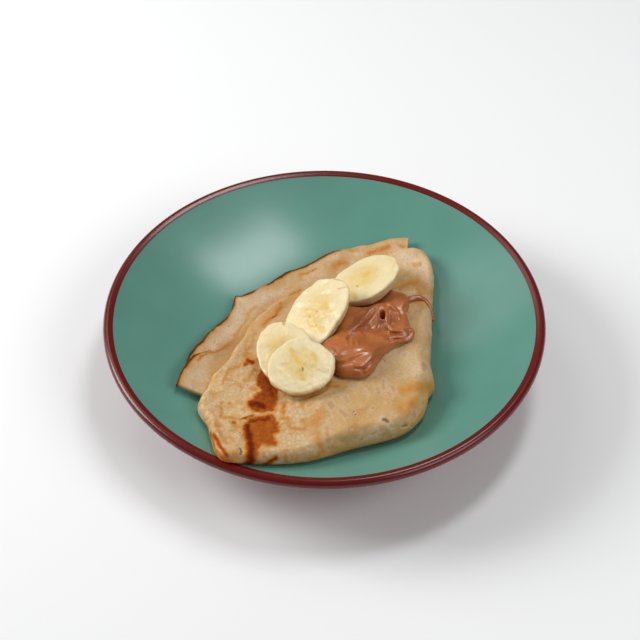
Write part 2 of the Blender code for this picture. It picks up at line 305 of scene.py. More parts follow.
class Shader:
    """A Principled material under construction."""

    def __init__(self, name: str, **constants: Value) -> None:
        """Starts the material.

        Args:
            name: The material's name.
            constants: Values of the Principled node's sockets, with _ for spaces.
        """
        self.material = bpy.data.materials.new(name)
        self.material.use_nodes = True
        self.tree = self.material.node_tree
        self.surface = self.tree.nodes["Principled BSDF"]
        self.set(**constants)

    def set(self, **values: Value) -> "Shader":
        """Feeds sockets of the Principled node, named with _ for spaces."""
        for name, value in values.items():
            self.feed(self.surface.inputs[name.replace("_", " ").title().replace("Ior", "IOR")], value)
        return self

    def feed(self, socket: bpy.types.NodeSocket, value: Value) -> None:
        """Links a signal to a socket, or sets the socket to a number or a colour.

        Args:
            socket: The input socket.
            value: What it gets.
        """
        if isinstance(value, Signal):
            self.tree.links.new(value.socket, socket)
        elif isinstance(value, tuple) and len(socket.default_value) > len(value):
            socket.default_value = (*value, 1.0)
        else:
            socket.default_value = value

    def node(
        self,
        kind: str,
        settings: Optional[dict] = None,
        inputs: Union[dict, Sequence] = (),
        output: Union[int, str] = 0,
    ) -> Signal:
        """Adds a node.

        Args:
            kind: The node's type, without its ShaderNode prefix.
            settings: Its properties, set first.
            inputs: Values or signals for its sockets, by place or name, or in order.
            output: Which output to return.

        Returns:
            The output as a signal.
        """
        made = self.tree.nodes.new(f"ShaderNode{kind}")
        for name, value in (settings or {}).items():
            setattr(made, name, value)
        pairs = inputs.items() if isinstance(inputs, dict) else enumerate(inputs)
        for key, value in pairs:
            self.feed(made.inputs[key], value)
        return Signal(self, made.outputs[output])

    def place(self, size: tuple[float, float, float] = (1.0, 1.0, 1.0)) -> Signal:
        """Object coordinates, scaled along each axis by a Mapping node."""
        return self.node("Mapping", {}, {0: self.node("TexCoord", output="Object"), 3: size})

    def attribute(self, name: str) -> Signal:
        """A number stored on the mesh."""
        return self.node("Attribute", {"attribute_name": name}, output="Fac")

    def noise(self, place: Signal, size: float, detail: float = 2.0, roughness: float = 0.5) -> Signal:
        """Noise around 0.5.

        Args:
            place: Coordinates in metres.
            size: Size of the largest swellings in metres.
            detail: Octaves.
            roughness: Strength of each octave next to the last.

        Returns:
            The noise.
        """
        inputs = {"Vector": place, "Scale": 1 / size, "Detail": detail, "Roughness": roughness}
        return self.node("TexNoise", {}, inputs)

    def cells(self, place: Signal, size: float, feature: str = "F1", output: str = "Distance") -> Signal:
        """A pattern of cells.

        Args:
            place: Coordinates in metres.
            size: Size of the cells in metres.
            feature: Which measure the cells give.
            output: Distance, or Color for a draw of its own for each cell.

        Returns:
            The pattern, with distances in cell sizes.
        """
        return self.node("TexVoronoi", {"feature": feature}, {"Vector": place, "Scale": 1 / size}, output)

    def warp(self, place: Signal, size: float, reach: float) -> Signal:
        """Coordinates pushed about by noise.

        Args:
            place: Coordinates in metres.
            size: Size of the swirls in metres.
            reach: How far points move, in metres.

        Returns:
            The new coordinates.
        """
        inputs = {"Vector": place, "Scale": 1 / size, "Detail": 2.0}
        colour = self.node("TexNoise", {}, inputs, "Color")
        pushed = self.node("VectorMath", {"operation": "SUBTRACT"}, {0: colour, 1: (0.5, 0.5, 0.5)})
        sized = self.node("VectorMath", {"operation": "SCALE"}, {0: pushed, 3: 2 * reach})
        return self.node("VectorMath", {"operation": "ADD"}, {0: place, 1: sized})

    def mix(self, share: Value, low: Value, high: Value, mode: str = "MIX") -> Signal:
        """Mixes two colours.

        Args:
            share: How much of the second, from 0 to 1.
            low: The first colour.
            high: The second colour.
            mode: The blend type.

        Returns:
            The mixed colour.
        """
        settings = {"data_type": "RGBA", "blend_type": mode, "clamp_factor": True}
        return self.node("Mix", settings, {0: share, 6: low, 7: high}, 2)

    def bump(self, height: Signal, depth: float, strength: float = 1.0) -> Signal:
        """A Bump node.

        Args:
            height: The relief, about 0 to 1.
            depth: Its real depth in metres.
            strength: The node's strength.

        Returns:
            The bent normal.
        """
        return self.node("Bump", {}, {"Strength": strength, "Distance": depth, "Height": height}, "Normal")


@dataclass(frozen=True)
class GlazeFinish:
    """Satin glaze of one colour, with faint mottling and fine specks."""

    name: str
    colour: tuple[float, float, float]
    deep: tuple[float, float, float]
    roughness: float
    gloss: float

    def material(self) -> bpy.types.Material:
        """Makes the material."""
        shader = Shader(self.name, roughness=self.roughness, ior=1.5, specular_ior_level=self.gloss)
        place = shader.place()
        cloud = shader.noise(place, 30 * MM, 3).band(0.3, 0.7)
        colour = shader.mix(cloud * 0.5, self.colour, self.deep)
        speck = 1 - shader.cells(place, 2.2 * MM).band(0.06, 0.16)
        colour = shader.mix(speck * 0.16, colour, self.deep)
        skin = shader.noise(place, 6 * MM, 3)
        return shader.set(base_color=colour, normal=shader.bump(skin, 0.06 * MM, 0.35)).material


@dataclass(frozen=True)
class ClayFinish:
    """Bare fired clay, as the foot ring has."""

    name: str
    colour: tuple[float, float, float]
    dark: tuple[float, float, float]

    def material(self) -> bpy.types.Material:
        """Makes the material."""
        shader = Shader(self.name, roughness=0.8)
        grain = shader.noise(shader.place(), 0.6 * MM, 4, 0.7)
        colour = shader.mix(grain.band(0.35, 0.7), self.dark, self.colour)
        return shader.set(base_color=colour, normal=shader.bump(grain, 0.1 * MM, 0.6)).material


@dataclass(frozen=True)
class BatterFinish:
    """Fried batter: pale, with lacy browning, scorched patches, bubbles and pores, and a few strokes of
    painted shade.
    """

    name: str = "fried_batter"
    pale: tuple[float, float, float] = tint(221, 203, 168)
    cream: tuple[float, float, float] = tint(206, 175, 129)
    tan: tuple[float, float, float] = tint(201, 165, 116)
    gold: tuple[float, float, float] = tint(196, 140, 64)
    lacy: tuple[float, float, float] = tint(200, 142, 72)
    orange: tuple[float, float, float] = tint(184, 97, 20)
    brown: tuple[float, float, float] = tint(136, 52, 4)
    dark: tuple[float, float, float] = tint(90, 26, 2)
    mauve: tuple[float, float, float] = tint(182, 142, 106)
    hollow: tuple[float, float, float] = tint(134, 98, 56)
    ash: tuple[float, float, float] = tint(224, 203, 174)
    char: tuple[float, float, float] = tint(98, 54, 22)
    oval: tuple[float, float, float] = (1.0, 0.72, 1.0)
    net_cell: float = 4.6 * MM
    small_cell: float = 2.4 * MM
    blister_cell: float = 3.8 * MM
    pore_cell: float = 1.7 * MM

    def lace(self, shader: Shader, place: Signal) -> Signal:
        """Browning that runs between pale blisters, as a soft net with soft clouds in it."""
        pushed = shader.warp(shader.place(self.oval), 5 * MM, 2.4 * MM)
        net = 1 - shader.cells(pushed, self.net_cell, "DISTANCE_TO_EDGE").band(0.0, 0.3)
        cloud = shader.noise(pushed, 4.2 * MM, 3, 0.6).band(0.52, 0.7)
        patchy = shader.noise(place, 9 * MM, 3).band(0.38, 0.62)
        small = 1 - shader.cells(pushed, self.small_cell, "DISTANCE_TO_EDGE").band(0.0, 0.26)
        return (net * patchy).most(cloud * 0.75).most(small * 0.5)

    def pores(self, shader: Shader, place: Signal) -> Signal:
        """Pin holes, scattered by a draw for each cell."""
        drawn = shader.cells(place, self.pore_cell, "F1", "Color")
        chosen = shader.node("SeparateColor", {}, {0: drawn}).band(0.55, 0.9)
        return (1 - shader.cells(place, self.pore_cell).band(0.04, 0.22)) * chosen

    def blisters(self, shader: Shader, place: Signal) -> tuple[Signal, Signal]:
        """Flat oval blisters: how far each shows, and its brownish middle."""
        pushed = shader.warp(shader.place(self.oval), 4 * MM, 1.2 * MM)
        away = shader.cells(pushed, self.blister_cell)
        drawn = shader.cells(pushed, self.blister_cell, "F1", "Color")
        chosen = shader.node("SeparateColor", {}, {0: drawn}).band(0.35, 0.8)
        return (1 - away.band(0.25, 0.6)) * chosen, (1 - away.band(0.0, 0.34)) * chosen

    def material(self) -> bpy.types.Material:
        """Makes the material."""
        shader = Shader(
            self.name,
            ior=1.4,
            specular_ior_level=0.12,
            subsurface_weight=0.1,
            subsurface_radius=(3.0 * MM, 1.6 * MM, 0.8 * MM),
            subsurface_scale=1.0,
        )
        place = shader.place()
        lace, gold, toast, ash = (shader.attribute(name) for name in ("lace", "gold", "toast", "ash"))
        mauve, pit, rim = (shader.attribute(name) for name in ("mauve", "pit", "rim"))
        broad = shader.noise(place, 14 * MM, 3)
        fine = shader.noise(place, 1.5 * MM, 4, 0.65)
        grain = shader.noise(place, 0.75 * MM, 3, 0.6)
        colour = shader.mix(broad.band(0.35, 0.65), self.tan, self.cream)
        blister, middle = self.blisters(shader, place)
        colour = shader.mix(blister * 0.35, colour, self.pale)
        colour = shader.mix(middle * 0.35, colour, self.mauve)
        colour = shader.mix((ash + (broad - 0.5) * 0.8 * ash.band(0.05, 0.3)) * 0.85, colour, self.ash)
        colour = shader.mix(fine.band(0.4, 0.75) * 0.35, colour, self.gold)
        colour = shader.mix(grain.band(0.45, 0.75) * 0.36, colour, self.lacy)
        colour = shader.mix(grain.band(0.5, 0.25) * 0.4, colour, self.pale)
        colour = shader.mix((gold + (fine - 0.5) * 0.5 * gold.band(0.05, 0.3)) * 0.9, colour, self.gold)
        net = self.lace(shader, place)
        colour = shader.mix(lace.band(0.2, 1.0) * (1 - net) * 0.5, colour, self.pale)
        colour = shader.mix(net * lace * 0.85, colour, self.lacy)
        colour = shader.mix(mauve.band(0.02, 0.25) * 0.2, colour, self.pale)
        colour = shader.mix(mauve.band(0.15, 0.75) * 0.75, colour, self.mauve)
        ragged = shader.noise(place, 2.6 * MM, 4, 0.6)
        # The browning amount also carries painted shade: the shadow below the front slice.
        heat_and_shade = toast + ((ragged - 0.5) * 0.36 + (grain - 0.5) * 0.14) * toast.band(0.02, 0.3)
        colour = shader.mix(heat_and_shade.band(0.04, 0.34) * 0.65, colour, self.lacy)
        colour = shader.mix(heat_and_shade.band(0.26, 0.62) * 0.9, colour, self.orange)
        colour = shader.mix(heat_and_shade.band(0.52, 0.88), colour, self.brown)
        colour = shader.mix(heat_and_shade.band(0.82, 1.15), colour, self.dark)
        edge = rim + (ragged - 0.5) * 0.4 * rim.band(0.02, 0.3)
        colour = shader.mix(edge.band(0.1, 0.45) * 0.6, colour, self.gold)
        colour = shader.mix(edge.band(0.35, 0.6) * 0.6, colour, self.orange)
        colour = shader.mix(edge.band(0.5, 0.8), colour, self.char)
        pores = self.pores(shader, place)
        colour = shader.mix(pores * 0.65, colour, self.brown)
        colour = shader.mix(pit.band(0.02, 0.25) * 0.35, colour, self.pale)
        colour = shader.mix(pit.band(0.2, 0.8) * 0.9, colour, self.hollow)
        relief = fine * 0.3 + ragged * 0.3 + grain * 0.15 + blister * 0.2 - pores * 0.5 - pit * 0.5
        relief = relief + (1 - net) * lace * 0.35
        roughness = 0.6 - heat_and_shade.band(0.4, 0.9) * 0.1
        normal = shader.bump(relief, 0.32 * MM, 0.9)
        return shader.set(base_color=colour, roughness=roughness, normal=normal).material


@dataclass(frozen=True)
class BananaFinish:
    """Cut banana: cream flesh, a yellow three-lobed heart with seeds, fibrous sides, and brown stains with
    painted shade along slice edges.
    """

    name: str = "banana_flesh"
    flesh: tuple[float, float, float] = tint(240, 222, 177)
    ring: tuple[float, float, float] = tint(234, 208, 146)
    heart: tuple[float, float, float] = tint(228, 190, 88)
    side: tuple[float, float, float] = tint(230, 205, 154)
    seed: tuple[float, float, float] = tint(158, 112, 44)
    # Brown for the slices' real stains and for painted shade along their edges.
    stain: tuple[float, float, float] = tint(200, 146, 66)

    def material(self) -> bpy.types.Material:
        """Makes the material."""
        shader = Shader(
            self.name,
            ior=1.42,
            specular_ior_level=0.5,
            subsurface_weight=0.3,
            subsurface_radius=(4.0 * MM, 3.0 * MM, 1.5 * MM),
            subsurface_scale=1.0,
        )
        disc = shader.node("UVMap", {"uv_map": "disc"})
        place = shader.place()
        out = shader.node("VectorMath", {"operation": "LENGTH"}, {0: disc}, "Value")
        split = shader.node("SeparateXYZ", {}, {0: disc})
        across = Signal(shader, split.socket.node.outputs[1])
        angle = split.maths("ARCTAN2", across, swap=True)
        heart, seeds, stain, side = (shader.attribute(name) for name in ("heart", "seeds", "stain", "side"))
        cloud = shader.noise(place, 3.5 * MM, 4, 0.6)
        fine = shader.noise(place, 0.9 * MM, 3, 0.6)
        colour = shader.mix((out + (cloud - 0.5) * 0.5).band(0.35, 0.75), self.ring, self.flesh)
        colour = shader.mix(cloud.band(0.5, 0.75) * 0.4, colour, self.ring)
        warm = heart + (cloud - 0.5) * 0.7 * heart.band(0.02, 0.3)
        colour = shader.mix(warm.band(0.0, 1.0) * 0.8, colour, self.heart)
        rays = shader.node("CombineXYZ", {}, {0: angle * 5, 1: out * 1.2, 2: 0.0})
        fibre = shader.node("TexNoise", {}, {"Vector": rays, "Scale": 2.2, "Detail": 3.0})
        colour = shader.mix(fibre.band(0.5, 0.75) * 0.3 * (1 - side), colour, self.flesh)
        colour = shader.mix(fine.band(0.55, 0.8) * 0.3, colour, self.ring)
        streak = shader.noise(shader.place((1.0, 1.0, 0.2)), 0.7 * MM, 3, 0.6)
        colour = shader.mix(side * 0.9, colour, self.side)
        colour = shader.mix(side * streak.band(0.45, 0.75) * 0.45, colour, self.ring)
        # Stains and painted edge shade together, roughened by fine noise.
        stain_and_shade_mix = stain + (fine - 0.5) * 0.5 * stain.band(0.02, 0.3)
        colour = shader.mix(stain_and_shade_mix.band(0.1, 0.9) * 0.85, colour, self.stain)
        colour = shader.mix(seeds.band(0.2, 0.8) * 0.85, colour, self.seed)
        relief = cloud * 0.7 + fine * 0.25 + streak * side * 0.4 - heart * 0.3 - seeds * 0.3
        normal = shader.bump(relief, 0.34 * MM, 0.8)
        return shader.set(base_color=colour, roughness=0.3 + side * 0.2, normal=normal).material


@dataclass(frozen=True)
class SpreadFinish:
    """Soft hazelnut spread, smooth and glossy."""

    name: str = "hazelnut_spread"
    colour: tuple[float, float, float] = tint(187, 108, 52)
    deep: tuple[float, float, float] = tint(152, 79, 29)

    def material(self) -> bpy.types.Material:
        """Makes the material."""
        shader = Shader(
            self.name,
            ior=1.47,
            specular_ior_level=1.0,
            subsurface_weight=0.08,
            subsurface_radius=(1.5 * MM, 0.7 * MM, 0.35 * MM),
            subsurface_scale=1.0,
        )
        place = shader.place()
        cloud = shader.noise(place, 9 * MM, 3)
        colour = shader.mix(cloud.band(0.35, 0.7) * 0.6, self.colour, self.deep)
        fine = shader.noise(place, 1.2 * MM, 3, 0.6)
        roughness = 0.26 + cloud.band(0.3, 0.7) * 0.06
        normal = shader.bump(fine, 0.06 * MM, 0.5)
        return shader.set(base_color=colour, roughness=roughness, normal=normal).material


@dataclass(frozen=True)
class FloorFinish:
    """Plain pale floor."""

    name: str = "pale_floor"
    colour: tuple[float, float, float] = (0.97, 0.97, 0.97)

    def material(self) -> bpy.types.Material:
        """Makes the material."""
        shader = Shader(self.name, roughness=0.85)
        cloud = shader.noise(shader.place(), 0.4, 2)
        return shader.set(base_color=shader.mix(cloud * 0.05, self.colour, (0.9, 0.9, 0.9))).material


class Mesh:
    """A piece's mesh, whose vertices are read and moved as arrays."""

    def __init__(self, name: str, shape: bmesh.types.BMesh) -> None:
        """Makes an object from a bmesh, which it frees.

        Args:
            name: The piece's name.
            shape: The shape.
        """
        self.data = bpy.data.meshes.new(name)
        shape.to_mesh(self.data)
        shape.free()
        self.object = bpy.data.objects.new(name, self.data)
        bpy.context.scene.collection.objects.link(self.object)

    @property
    def points(self) -> Points:
        """The vertices, as rows of three."""
        flat = np.empty(len(self.data.vertices) * 3, np.float32)
        self.data.vertices.foreach_get("co", flat)
        return flat.reshape(-1, 3).astype(float)

    @points.setter
    def points(self, rows: Points) -> None:
        """Moves the vertices."""
        self.data.vertices.foreach_set("co", np.asarray(rows, np.float32).ravel())
        self.data.update()

    @property
    def normals(self) -> Points:
        """The vertices' normals, as rows of three."""
        flat = np.empty(len(self.data.vertices) * 3, np.float32)
        self.data.vertex_normals.foreach_get("vector", flat)
        return flat.reshape(-1, 3).astype(float)

    def store(self, name: str, values: Points) -> None:
        """Keeps a number for each vertex, for the material.

        Args:
            name: The attribute's name.
            values: One value a vertex.
        """
        layer = self.data.attributes.new(name, "FLOAT", "POINT")
        layer.data.foreach_set("value", np.asarray(values, np.float32))

    def store_map(self, name: str, across: Points) -> None:
        """Keeps a flat place for each vertex, as a UV map.

        Args:
            name: The map's name.
            across: One row of two a vertex.
        """
        layer = self.data.uv_layers.new(name=name)
        corners = np.empty(len(self.data.loops), np.int32)
        self.data.loops.foreach_get("vertex_index", corners)
        layer.uv.foreach_set("vector", np.asarray(across, np.float32)[corners].ravel())

    def finish(self, material: bpy.types.Material, node: str, slot: str) -> "Mesh":
        """Shades the piece smooth, dresses it and ties it to the frame.

        Args:
            material: The finish.
            node: The CAD node that it stands for.
            slot: The record's material slot; not used.

        Returns:
            The piece.
        """
        self.data.shade_smooth()
        if not self.data.materials:
            self.data.materials.append(material)
        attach(self.object, BODY)
        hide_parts(node)
        LOG.info("%s: %d faces", self.object.name, len(self.data.polygons))
        return self


def sphere(name: str, columns: int, rings: int) -> tuple[Mesh, Points, Points]:
    """A unit sphere, with each vertex's column and ring.

    Args:
        name: The piece's name.
        columns: Vertices round the sphere.
        rings: Steps from its top to its bottom.

    Returns:
        The piece, and the column and the ring of each vertex.
    """
    shape = bmesh.new()
    bmesh.ops.create_uvsphere(shape, u_segments=columns, v_segments=rings, radius=1.0)
    made = Mesh(name, shape)
    x, y, z = made.points.T
    column = np.rint(np.arctan2(y, x) % math.tau / math.tau * columns).astype(int) % columns
    ring = np.rint(np.arccos(np.clip(z, -1, 1)) / math.pi * rings).astype(int)
    return made, column, ring


@dataclass(frozen=True)
class Mound:
    """How a sphere's rings are shared out over a low mound with a rounded side."""

    columns: int
    top: int
    side: int
    under: int
    gather: float = 0.8

    @property
    def widest(self) -> int:
        """The ring of the widest line."""
        return self.top + self.side

    @property
    def rings(self) -> int:
        """Steps from the middle of the top to the middle of the underside."""
        return self.widest + self.side // 2 + self.under

    def shape(self, outline: Route, column: Points, ring: Points, body: "MoundBody") -> Points:
        """Where the sphere's vertices go.

        Args:
            outline: The mound's closed outline in plan.
            column: Each vertex's place round the mound.
            ring: Its place from the middle of the top to the middle of the underside.
            body: The mound's sizes.

        Returns:
            The points.
        """
        edge = smooth_line(outline, self.columns, True)[column]
        over = ring <= self.widest
        turned = np.where(over, (self.widest - ring) / self.side, (ring - self.widest) / (self.side // 2))
        turn = turned.clip(0, 1) * math.pi / 2
        share = np.where(over, ring / self.top, (self.rings - ring) / self.under).clip(0, 1)
        out = edge - np.array(body.middle)
        length = np.hypot(out[:, 0], out[:, 1])
        width = np.where(over, body.upper(edge), body.lower(edge))
        far = (length - width) * share**self.gather + width * np.cos(turn) * (share >= 1)
        spot = np.array(body.middle) + out / length[:, None] * far[:, None]
        base, waist = body.base(spot), body.waist(edge)
        above = base + waist + (body.rise(spot) - waist) * np.sin(turn)
        below = base + waist * (1 - np.sin(turn))
        return np.column_stack([spot, np.where(over, above, below)])


@dataclass(frozen=True)
class MoundBody:
    """A mound's middle, and its sizes as functions of places in plan.

    The widths of its rounded side over and under the widest line and the height of that line are
    taken at the outline, and the ground and the height of the top where each vertex is.
    """

    middle: tuple[float, float]
    upper: Callable[[Points], Points]
    lower: Callable[[Points], Points]
    waist: Callable[[Points], Points]
    base: Callable[[Points], Points]
    rise: Callable[[Points], Points]


@dataclass(frozen=True)
class PlateForm:
    """Sizes of the plate."""

    rim_radius: float = 0.115
    rim_top: float = 0.0395
    bead: float = 0.0026
    wall: float = 0.0048
    floor_top: float = 0.011
    floor_radius: float = 0.025
    power: float = 1.7
    foot_radius: float = 0.048
    foot_width: float = 0.005
    foot_depth: float = 0.004
    foot_corner: float = 0.0008
    foot_flare: tuple[float, float] = (0.003, 0.004)
    base: float = 0.006
    base_corner: float = 0.001

    def height(self, x: Points, y: Points) -> Points:
        """Height of the inner surface."""
        inner = self.rim_radius - 2 * self.bead
        rise = np.maximum(np.hypot(x, y) - self.floor_radius, 0) / (inner - self.floor_radius)
        return self.floor_top + (self.rim_top - self.bead / 2 - self.floor_top) * rise**self.power


PLATE = PlateForm()


class Coat(Enum):
    """What covers each part of the plate, by its material's place in the slots."""

    INSIDE = 0
    RIM = 1
    FOOT = 2


@dataclass
class Plate:
    """The shallow stoneware plate."""

    form: PlateForm = PLATE
    steps: int = 192
    rim_line: float = 0.1098
    clay_line: float = 0.0012
    bead_turn: tuple[float, float] = (100.0, -60.0)
    bead_steps: int = 18
    wall_shares: tuple[float, ...] = (0.82, 0.6, 0.38)
    inside_steps: int = 70
    outside_steps: int = 70
    inside: GlazeFinish = GlazeFinish("teal_glaze", tint(99, 151, 137), tint(91, 142, 126), 0.2, 0.3)
    outside: GlazeFinish = GlazeFinish("maroon_glaze", tint(104, 22, 16), tint(94, 18, 13), 0.24, 0.45)
    foot: ClayFinish = ClayFinish("bare_clay", tint(206, 180, 150), tint(176, 146, 116))

    def section(self) -> Points:
        """The plate's section: inside, over the rim, down the outside, under the foot."""
        form = self.form
        inner = form.rim_radius - 2 * form.bead
        out = np.linspace(0, inner, self.inside_steps)
        inside = np.stack([out, form.height(out, 0 * out)], axis=1)
        turn = np.radians(np.linspace(*self.bead_turn, self.bead_steps))
        middle = (form.rim_radius - form.bead, form.rim_top - form.bead)
        bead = np.stack([middle[0] + form.bead * np.cos(turn), middle[1] + form.bead * np.sin(turn)], axis=1)
        wall = form.foot_radius + (inner - form.foot_radius) * np.array(self.wall_shares)
        outer = form.foot_radius + form.foot_width / 2
        knots = [
            tuple(bead[-1]),
            *zip(wall, form.height(wall, 0 * wall) - form.wall),
            (outer + form.foot_flare[0], form.foot_depth + form.foot_flare[1]),
            (outer, form.foot_depth / 2),
        ]
        within = form.foot_radius - form.foot_width / 2
        under = form.floor_top - form.base
        corner = form.foot_corner
        foot = [(outer - corner, 0.0), (within + corner, 0.0), (within, 2 * corner)]
        edge = [(within, under - form.base_corner), (within - form.base_corner, under)]
        base = [*edge, (within / 2, under), (0.0, under)]
        return np.concatenate([inside, bead, smooth_line(knots, self.outside_steps)[1:], foot, base])

    def build(self) -> Mesh:
        """Turns the section about Z and dresses it."""
        shape = bmesh.new()
        line = [shape.verts.new((r, 0.0, z)) for r, z in self.section()]
        edges = [shape.edges.new(pair) for pair in zip(line, line[1:])]
        bmesh.ops.spin(
            shape,
            geom=line + edges,
            cent=(0, 0, 0),
            axis=(0, 0, 1),
            angle=math.tau,
            steps=self.steps,
            use_merge=True,
        )
        bmesh.ops.remove_doubles(shape, verts=shape.verts, dist=10 * WELD)
        bmesh.ops.recalc_face_normals(shape, faces=shape.faces)
        for face in shape.faces:
            face.material_index = self.coat(face.calc_center_median(), face.normal.z).value
        made = Mesh("plate_glazed", shape)
        for finish in (self.inside, self.outside, self.foot):
            made.data.materials.append(finish.material())
        return made.finish(made.data.materials[0], "plate", "glaze")

    def coat(self, middle: Vector, up: float) -> Coat:
        """What covers a face.

        Args:
            middle: The face's middle.
            up: The upward part of its normal.

        Returns:
            The coat.
        """
        if up > 0 and middle.xy.length < self.rim_line:
            return Coat.INSIDE
        return Coat.FOOT if middle.z < self.clay_line else Coat.RIM


@dataclass(frozen=True)
class Swell:
    """A smooth swelling: its middle, its spread along x and y, and its height."""

    middle: tuple[float, float]
    spread: tuple[float, float]
    height: float

    def at(self, x: Points, y: Points) -> Points:
        """Its height at points in plan."""
        away = ((x - self.middle[0]) / self.spread[0]) ** 2 + ((y - self.middle[1]) / self.spread[1]) ** 2
        return self.height * np.exp(-0.5 * away)


@dataclass(frozen=True)
class Mark:
    """A browned or marked stroke: its route and half width in the photo's pixels, and its strength."""

    route: Route
    width: float
    strength: float

    def at(self, pixels: Points) -> Points:
        """How strong it is at pixels."""
        count = len(self.route)
        route = self.route if count < 3 else smooth_line(self.route, 3 * (count - 1) + 1)
        return self.strength * np.exp(-((nearest(pixels, route).distance / self.width) ** 2))


@dataclass(frozen=True)
class Patch(Mark):
    """A mark that fills its outline, and fades over its width outside it."""

    def at(self, pixels: Points) -> Points:
        """How strong it is at pixels."""
        line = np.asarray([*self.route, self.route[0]], float)
        away = nearest(pixels, line).distance
        inside = np.zeros(len(pixels), bool)
        for (ax, ay), (bx, by) in zip(line, line[1:]):
            if ay != by:
                level = (ay > pixels[:, 1]) != (by > pixels[:, 1])
                inside ^= level & (pixels[:, 0] < (bx - ax) * (pixels[:, 1] - ay) / (by - ay) + ax)
        return self.strength * np.where(inside, 1, np.exp(-((away / self.width) ** 2)))


def strongest(marks: Sequence[Mark], pixels: Points) -> Points:
    """The strongest of several marks at each pixel."""
    return np.max([mark.at(pixels) for mark in marks], axis=0)


@dataclass(frozen=True)
class Wrinkle:
    """A long ridge, or a crease where its height is below 0: its route, half width and height.

    To the right of its route its half width is multiplied by its lean.
    """

    route: Route
    width: float
    height: float
    lean: float = 1.0

    def at(self, points: Points) -> Points:
        """Its height at points of the plane that its route is in.

        Args:
            points: Points as rows of two.

        Returns:
            One height a point.
        """
        found = nearest(points, self.route)
        width = self.width * np.where(found.side > 0, 1.0, self.lean)
        ends = np.sqrt(np.clip(np.sin(math.pi * np.clip(found.share, 0.02, 0.98)), 0, 1))
        return self.height * ends * np.exp(-((found.distance / width) ** 2))


DARK_PATCHES = (
    Patch(
        (
            (261, 373), (266, 377), (276, 388), (275, 404), (272, 409), (262, 409), (253, 408.5),
            (249.5, 404.5), (255, 397.5), (261, 394.5), (264, 391), (258.5, 384), (259, 378),
        ),
        3.4,
        0.76,
    ),
    Mark(((252, 404), (257, 403.5), (263, 406)), 5.5, 1.1),
    Mark(((264, 377), (270, 387), (271, 396)), 5.5, 0.86),
    Patch(
        (
            (249, 420), (256, 418), (271, 416.5), (276, 424), (278, 430), (271, 434.5), (275.5, 444),
            (268, 443.5), (261, 441), (257, 449), (254, 461), (250, 466.5), (245, 466), (249, 455),
            (247.5, 440), (244.5, 428),
        ),
        3.4,
        0.7,
    ),
    Mark(((250, 421.5), (260, 420), (269, 419)), 5.0, 0.9),
    Mark(((247, 427), (249.5, 438), (251, 448), (251, 458), (248.5, 464.5)), 6.0, 1.04),
    Mark(((257, 465.5), (264, 466), (270, 462), (277, 457)), 2.8, 0.85),
    Mark(((210, 432), (213, 444), (217, 453), (222, 458)), 2.8, 0.6),
    Mark(((214, 436), (219.5, 444), (225, 453), (227, 457)), 3.0, 0.78),
    Mark(((216, 452), (224, 460), (232, 461)), 3.6, 0.6),
    Mark(((247.5, 360), (252, 361.5)), 3.0, 0.95),
    Mark(((244.5, 364.4), (247, 363)), 2.2, 0.75),
    Mark(((239.8, 419.5), (246, 417), (253.6, 414.4)), 1.2, 0.85),
    Mark(((234.5, 423),), 2.4, 0.75),
    Mark(((273, 318), (277, 315)), 1.8, 0.75),
)
ORANGE_STROKES = (
    Mark(((245, 354), (250, 358), (257, 358), (256, 366), (254, 372)), 4.0, 0.39),
    Mark(((240, 364), (230.5, 369.8), (226, 374.4), (223, 383)), 2.2, 0.38),
    Mark(((249, 349), (253, 343), (254, 332)), 2.6, 0.31),
    Mark(((222, 402), (221, 410.5), (220, 417)), 2.5, 0.43),
    Mark(((229.6, 404),), 3.0, 0.43),
    Mark(((224, 418), (232, 417), (240, 418.8)), 2.2, 0.43),
    Mark(((214.8, 424.4), (220.3, 425.6)), 3.0, 0.43),
    Mark(((206, 425), (208, 430), (210, 436)), 1.6, 0.43),
    Mark(((233, 427), (241.6, 427), (243, 424)), 2.6, 0.41),
    Mark(((230, 431), (236, 430.6)), 2.3, 0.36),
    Mark(((238, 402), (242, 403)), 2.6, 0.34),
    Mark(((249, 387.4), (256.4, 390)), 3.0, 0.43),
    Mark(((247, 380), (252, 372)), 2.5, 0.34),
    Mark(((284.4, 404.8), (282.4, 413)), 3.7, 0.51),
    Mark(((281, 418.5), (288.4, 418.9), (290.5, 427), (296.5, 429), (304.5, 427.6)), 2.9, 0.41),
    Mark(((290, 427), (290, 434)), 2.2, 0.36),
    Mark(((302.5, 404.2),), 3.2, 0.36),
    Mark(((309.9, 404.8),), 2.6, 0.34),
    Mark(((312, 425), (317, 420), (322, 412)), 6.7, 0.31),
    Mark(((301.8, 420.9), (307, 425)), 3.0, 0.31),
    Mark(((318, 433), (318, 442), (322, 450), (317, 456)), 3.0, 0.39),
    Mark(((285.8, 450), (285.8, 461)), 2.6, 0.41),
    Mark(((275.5, 404), (276, 412)), 3.0, 0.39),
    Mark(((263, 325), (268, 321), (275, 316), (279.5, 309), (281, 304)), 3.2, 0.45),
    Mark(((289, 297), (294, 294), (300, 292)), 2.0, 0.38),
    Mark(((424, 388), (414, 387), (403, 390)), 5.3, 0.34),
    Mark(((411.3, 403),), 4.4, 0.43),
    Mark(((400, 288), (408, 284), (417, 284)), 3.3, 0.38),
    Mark(((418, 291), (422, 298)), 3.3, 0.36),
    Mark(((414, 265), (420, 264)), 3.0, 0.36),
    Mark(((328, 385), (340, 386)), 2.3, 0.43),
    # Painted shadow on the packet below the front slice's lower edge, drawn as browning.
    Mark(((303, 397), (312, 394), (318, 391)), 4.0, 0.34),
)
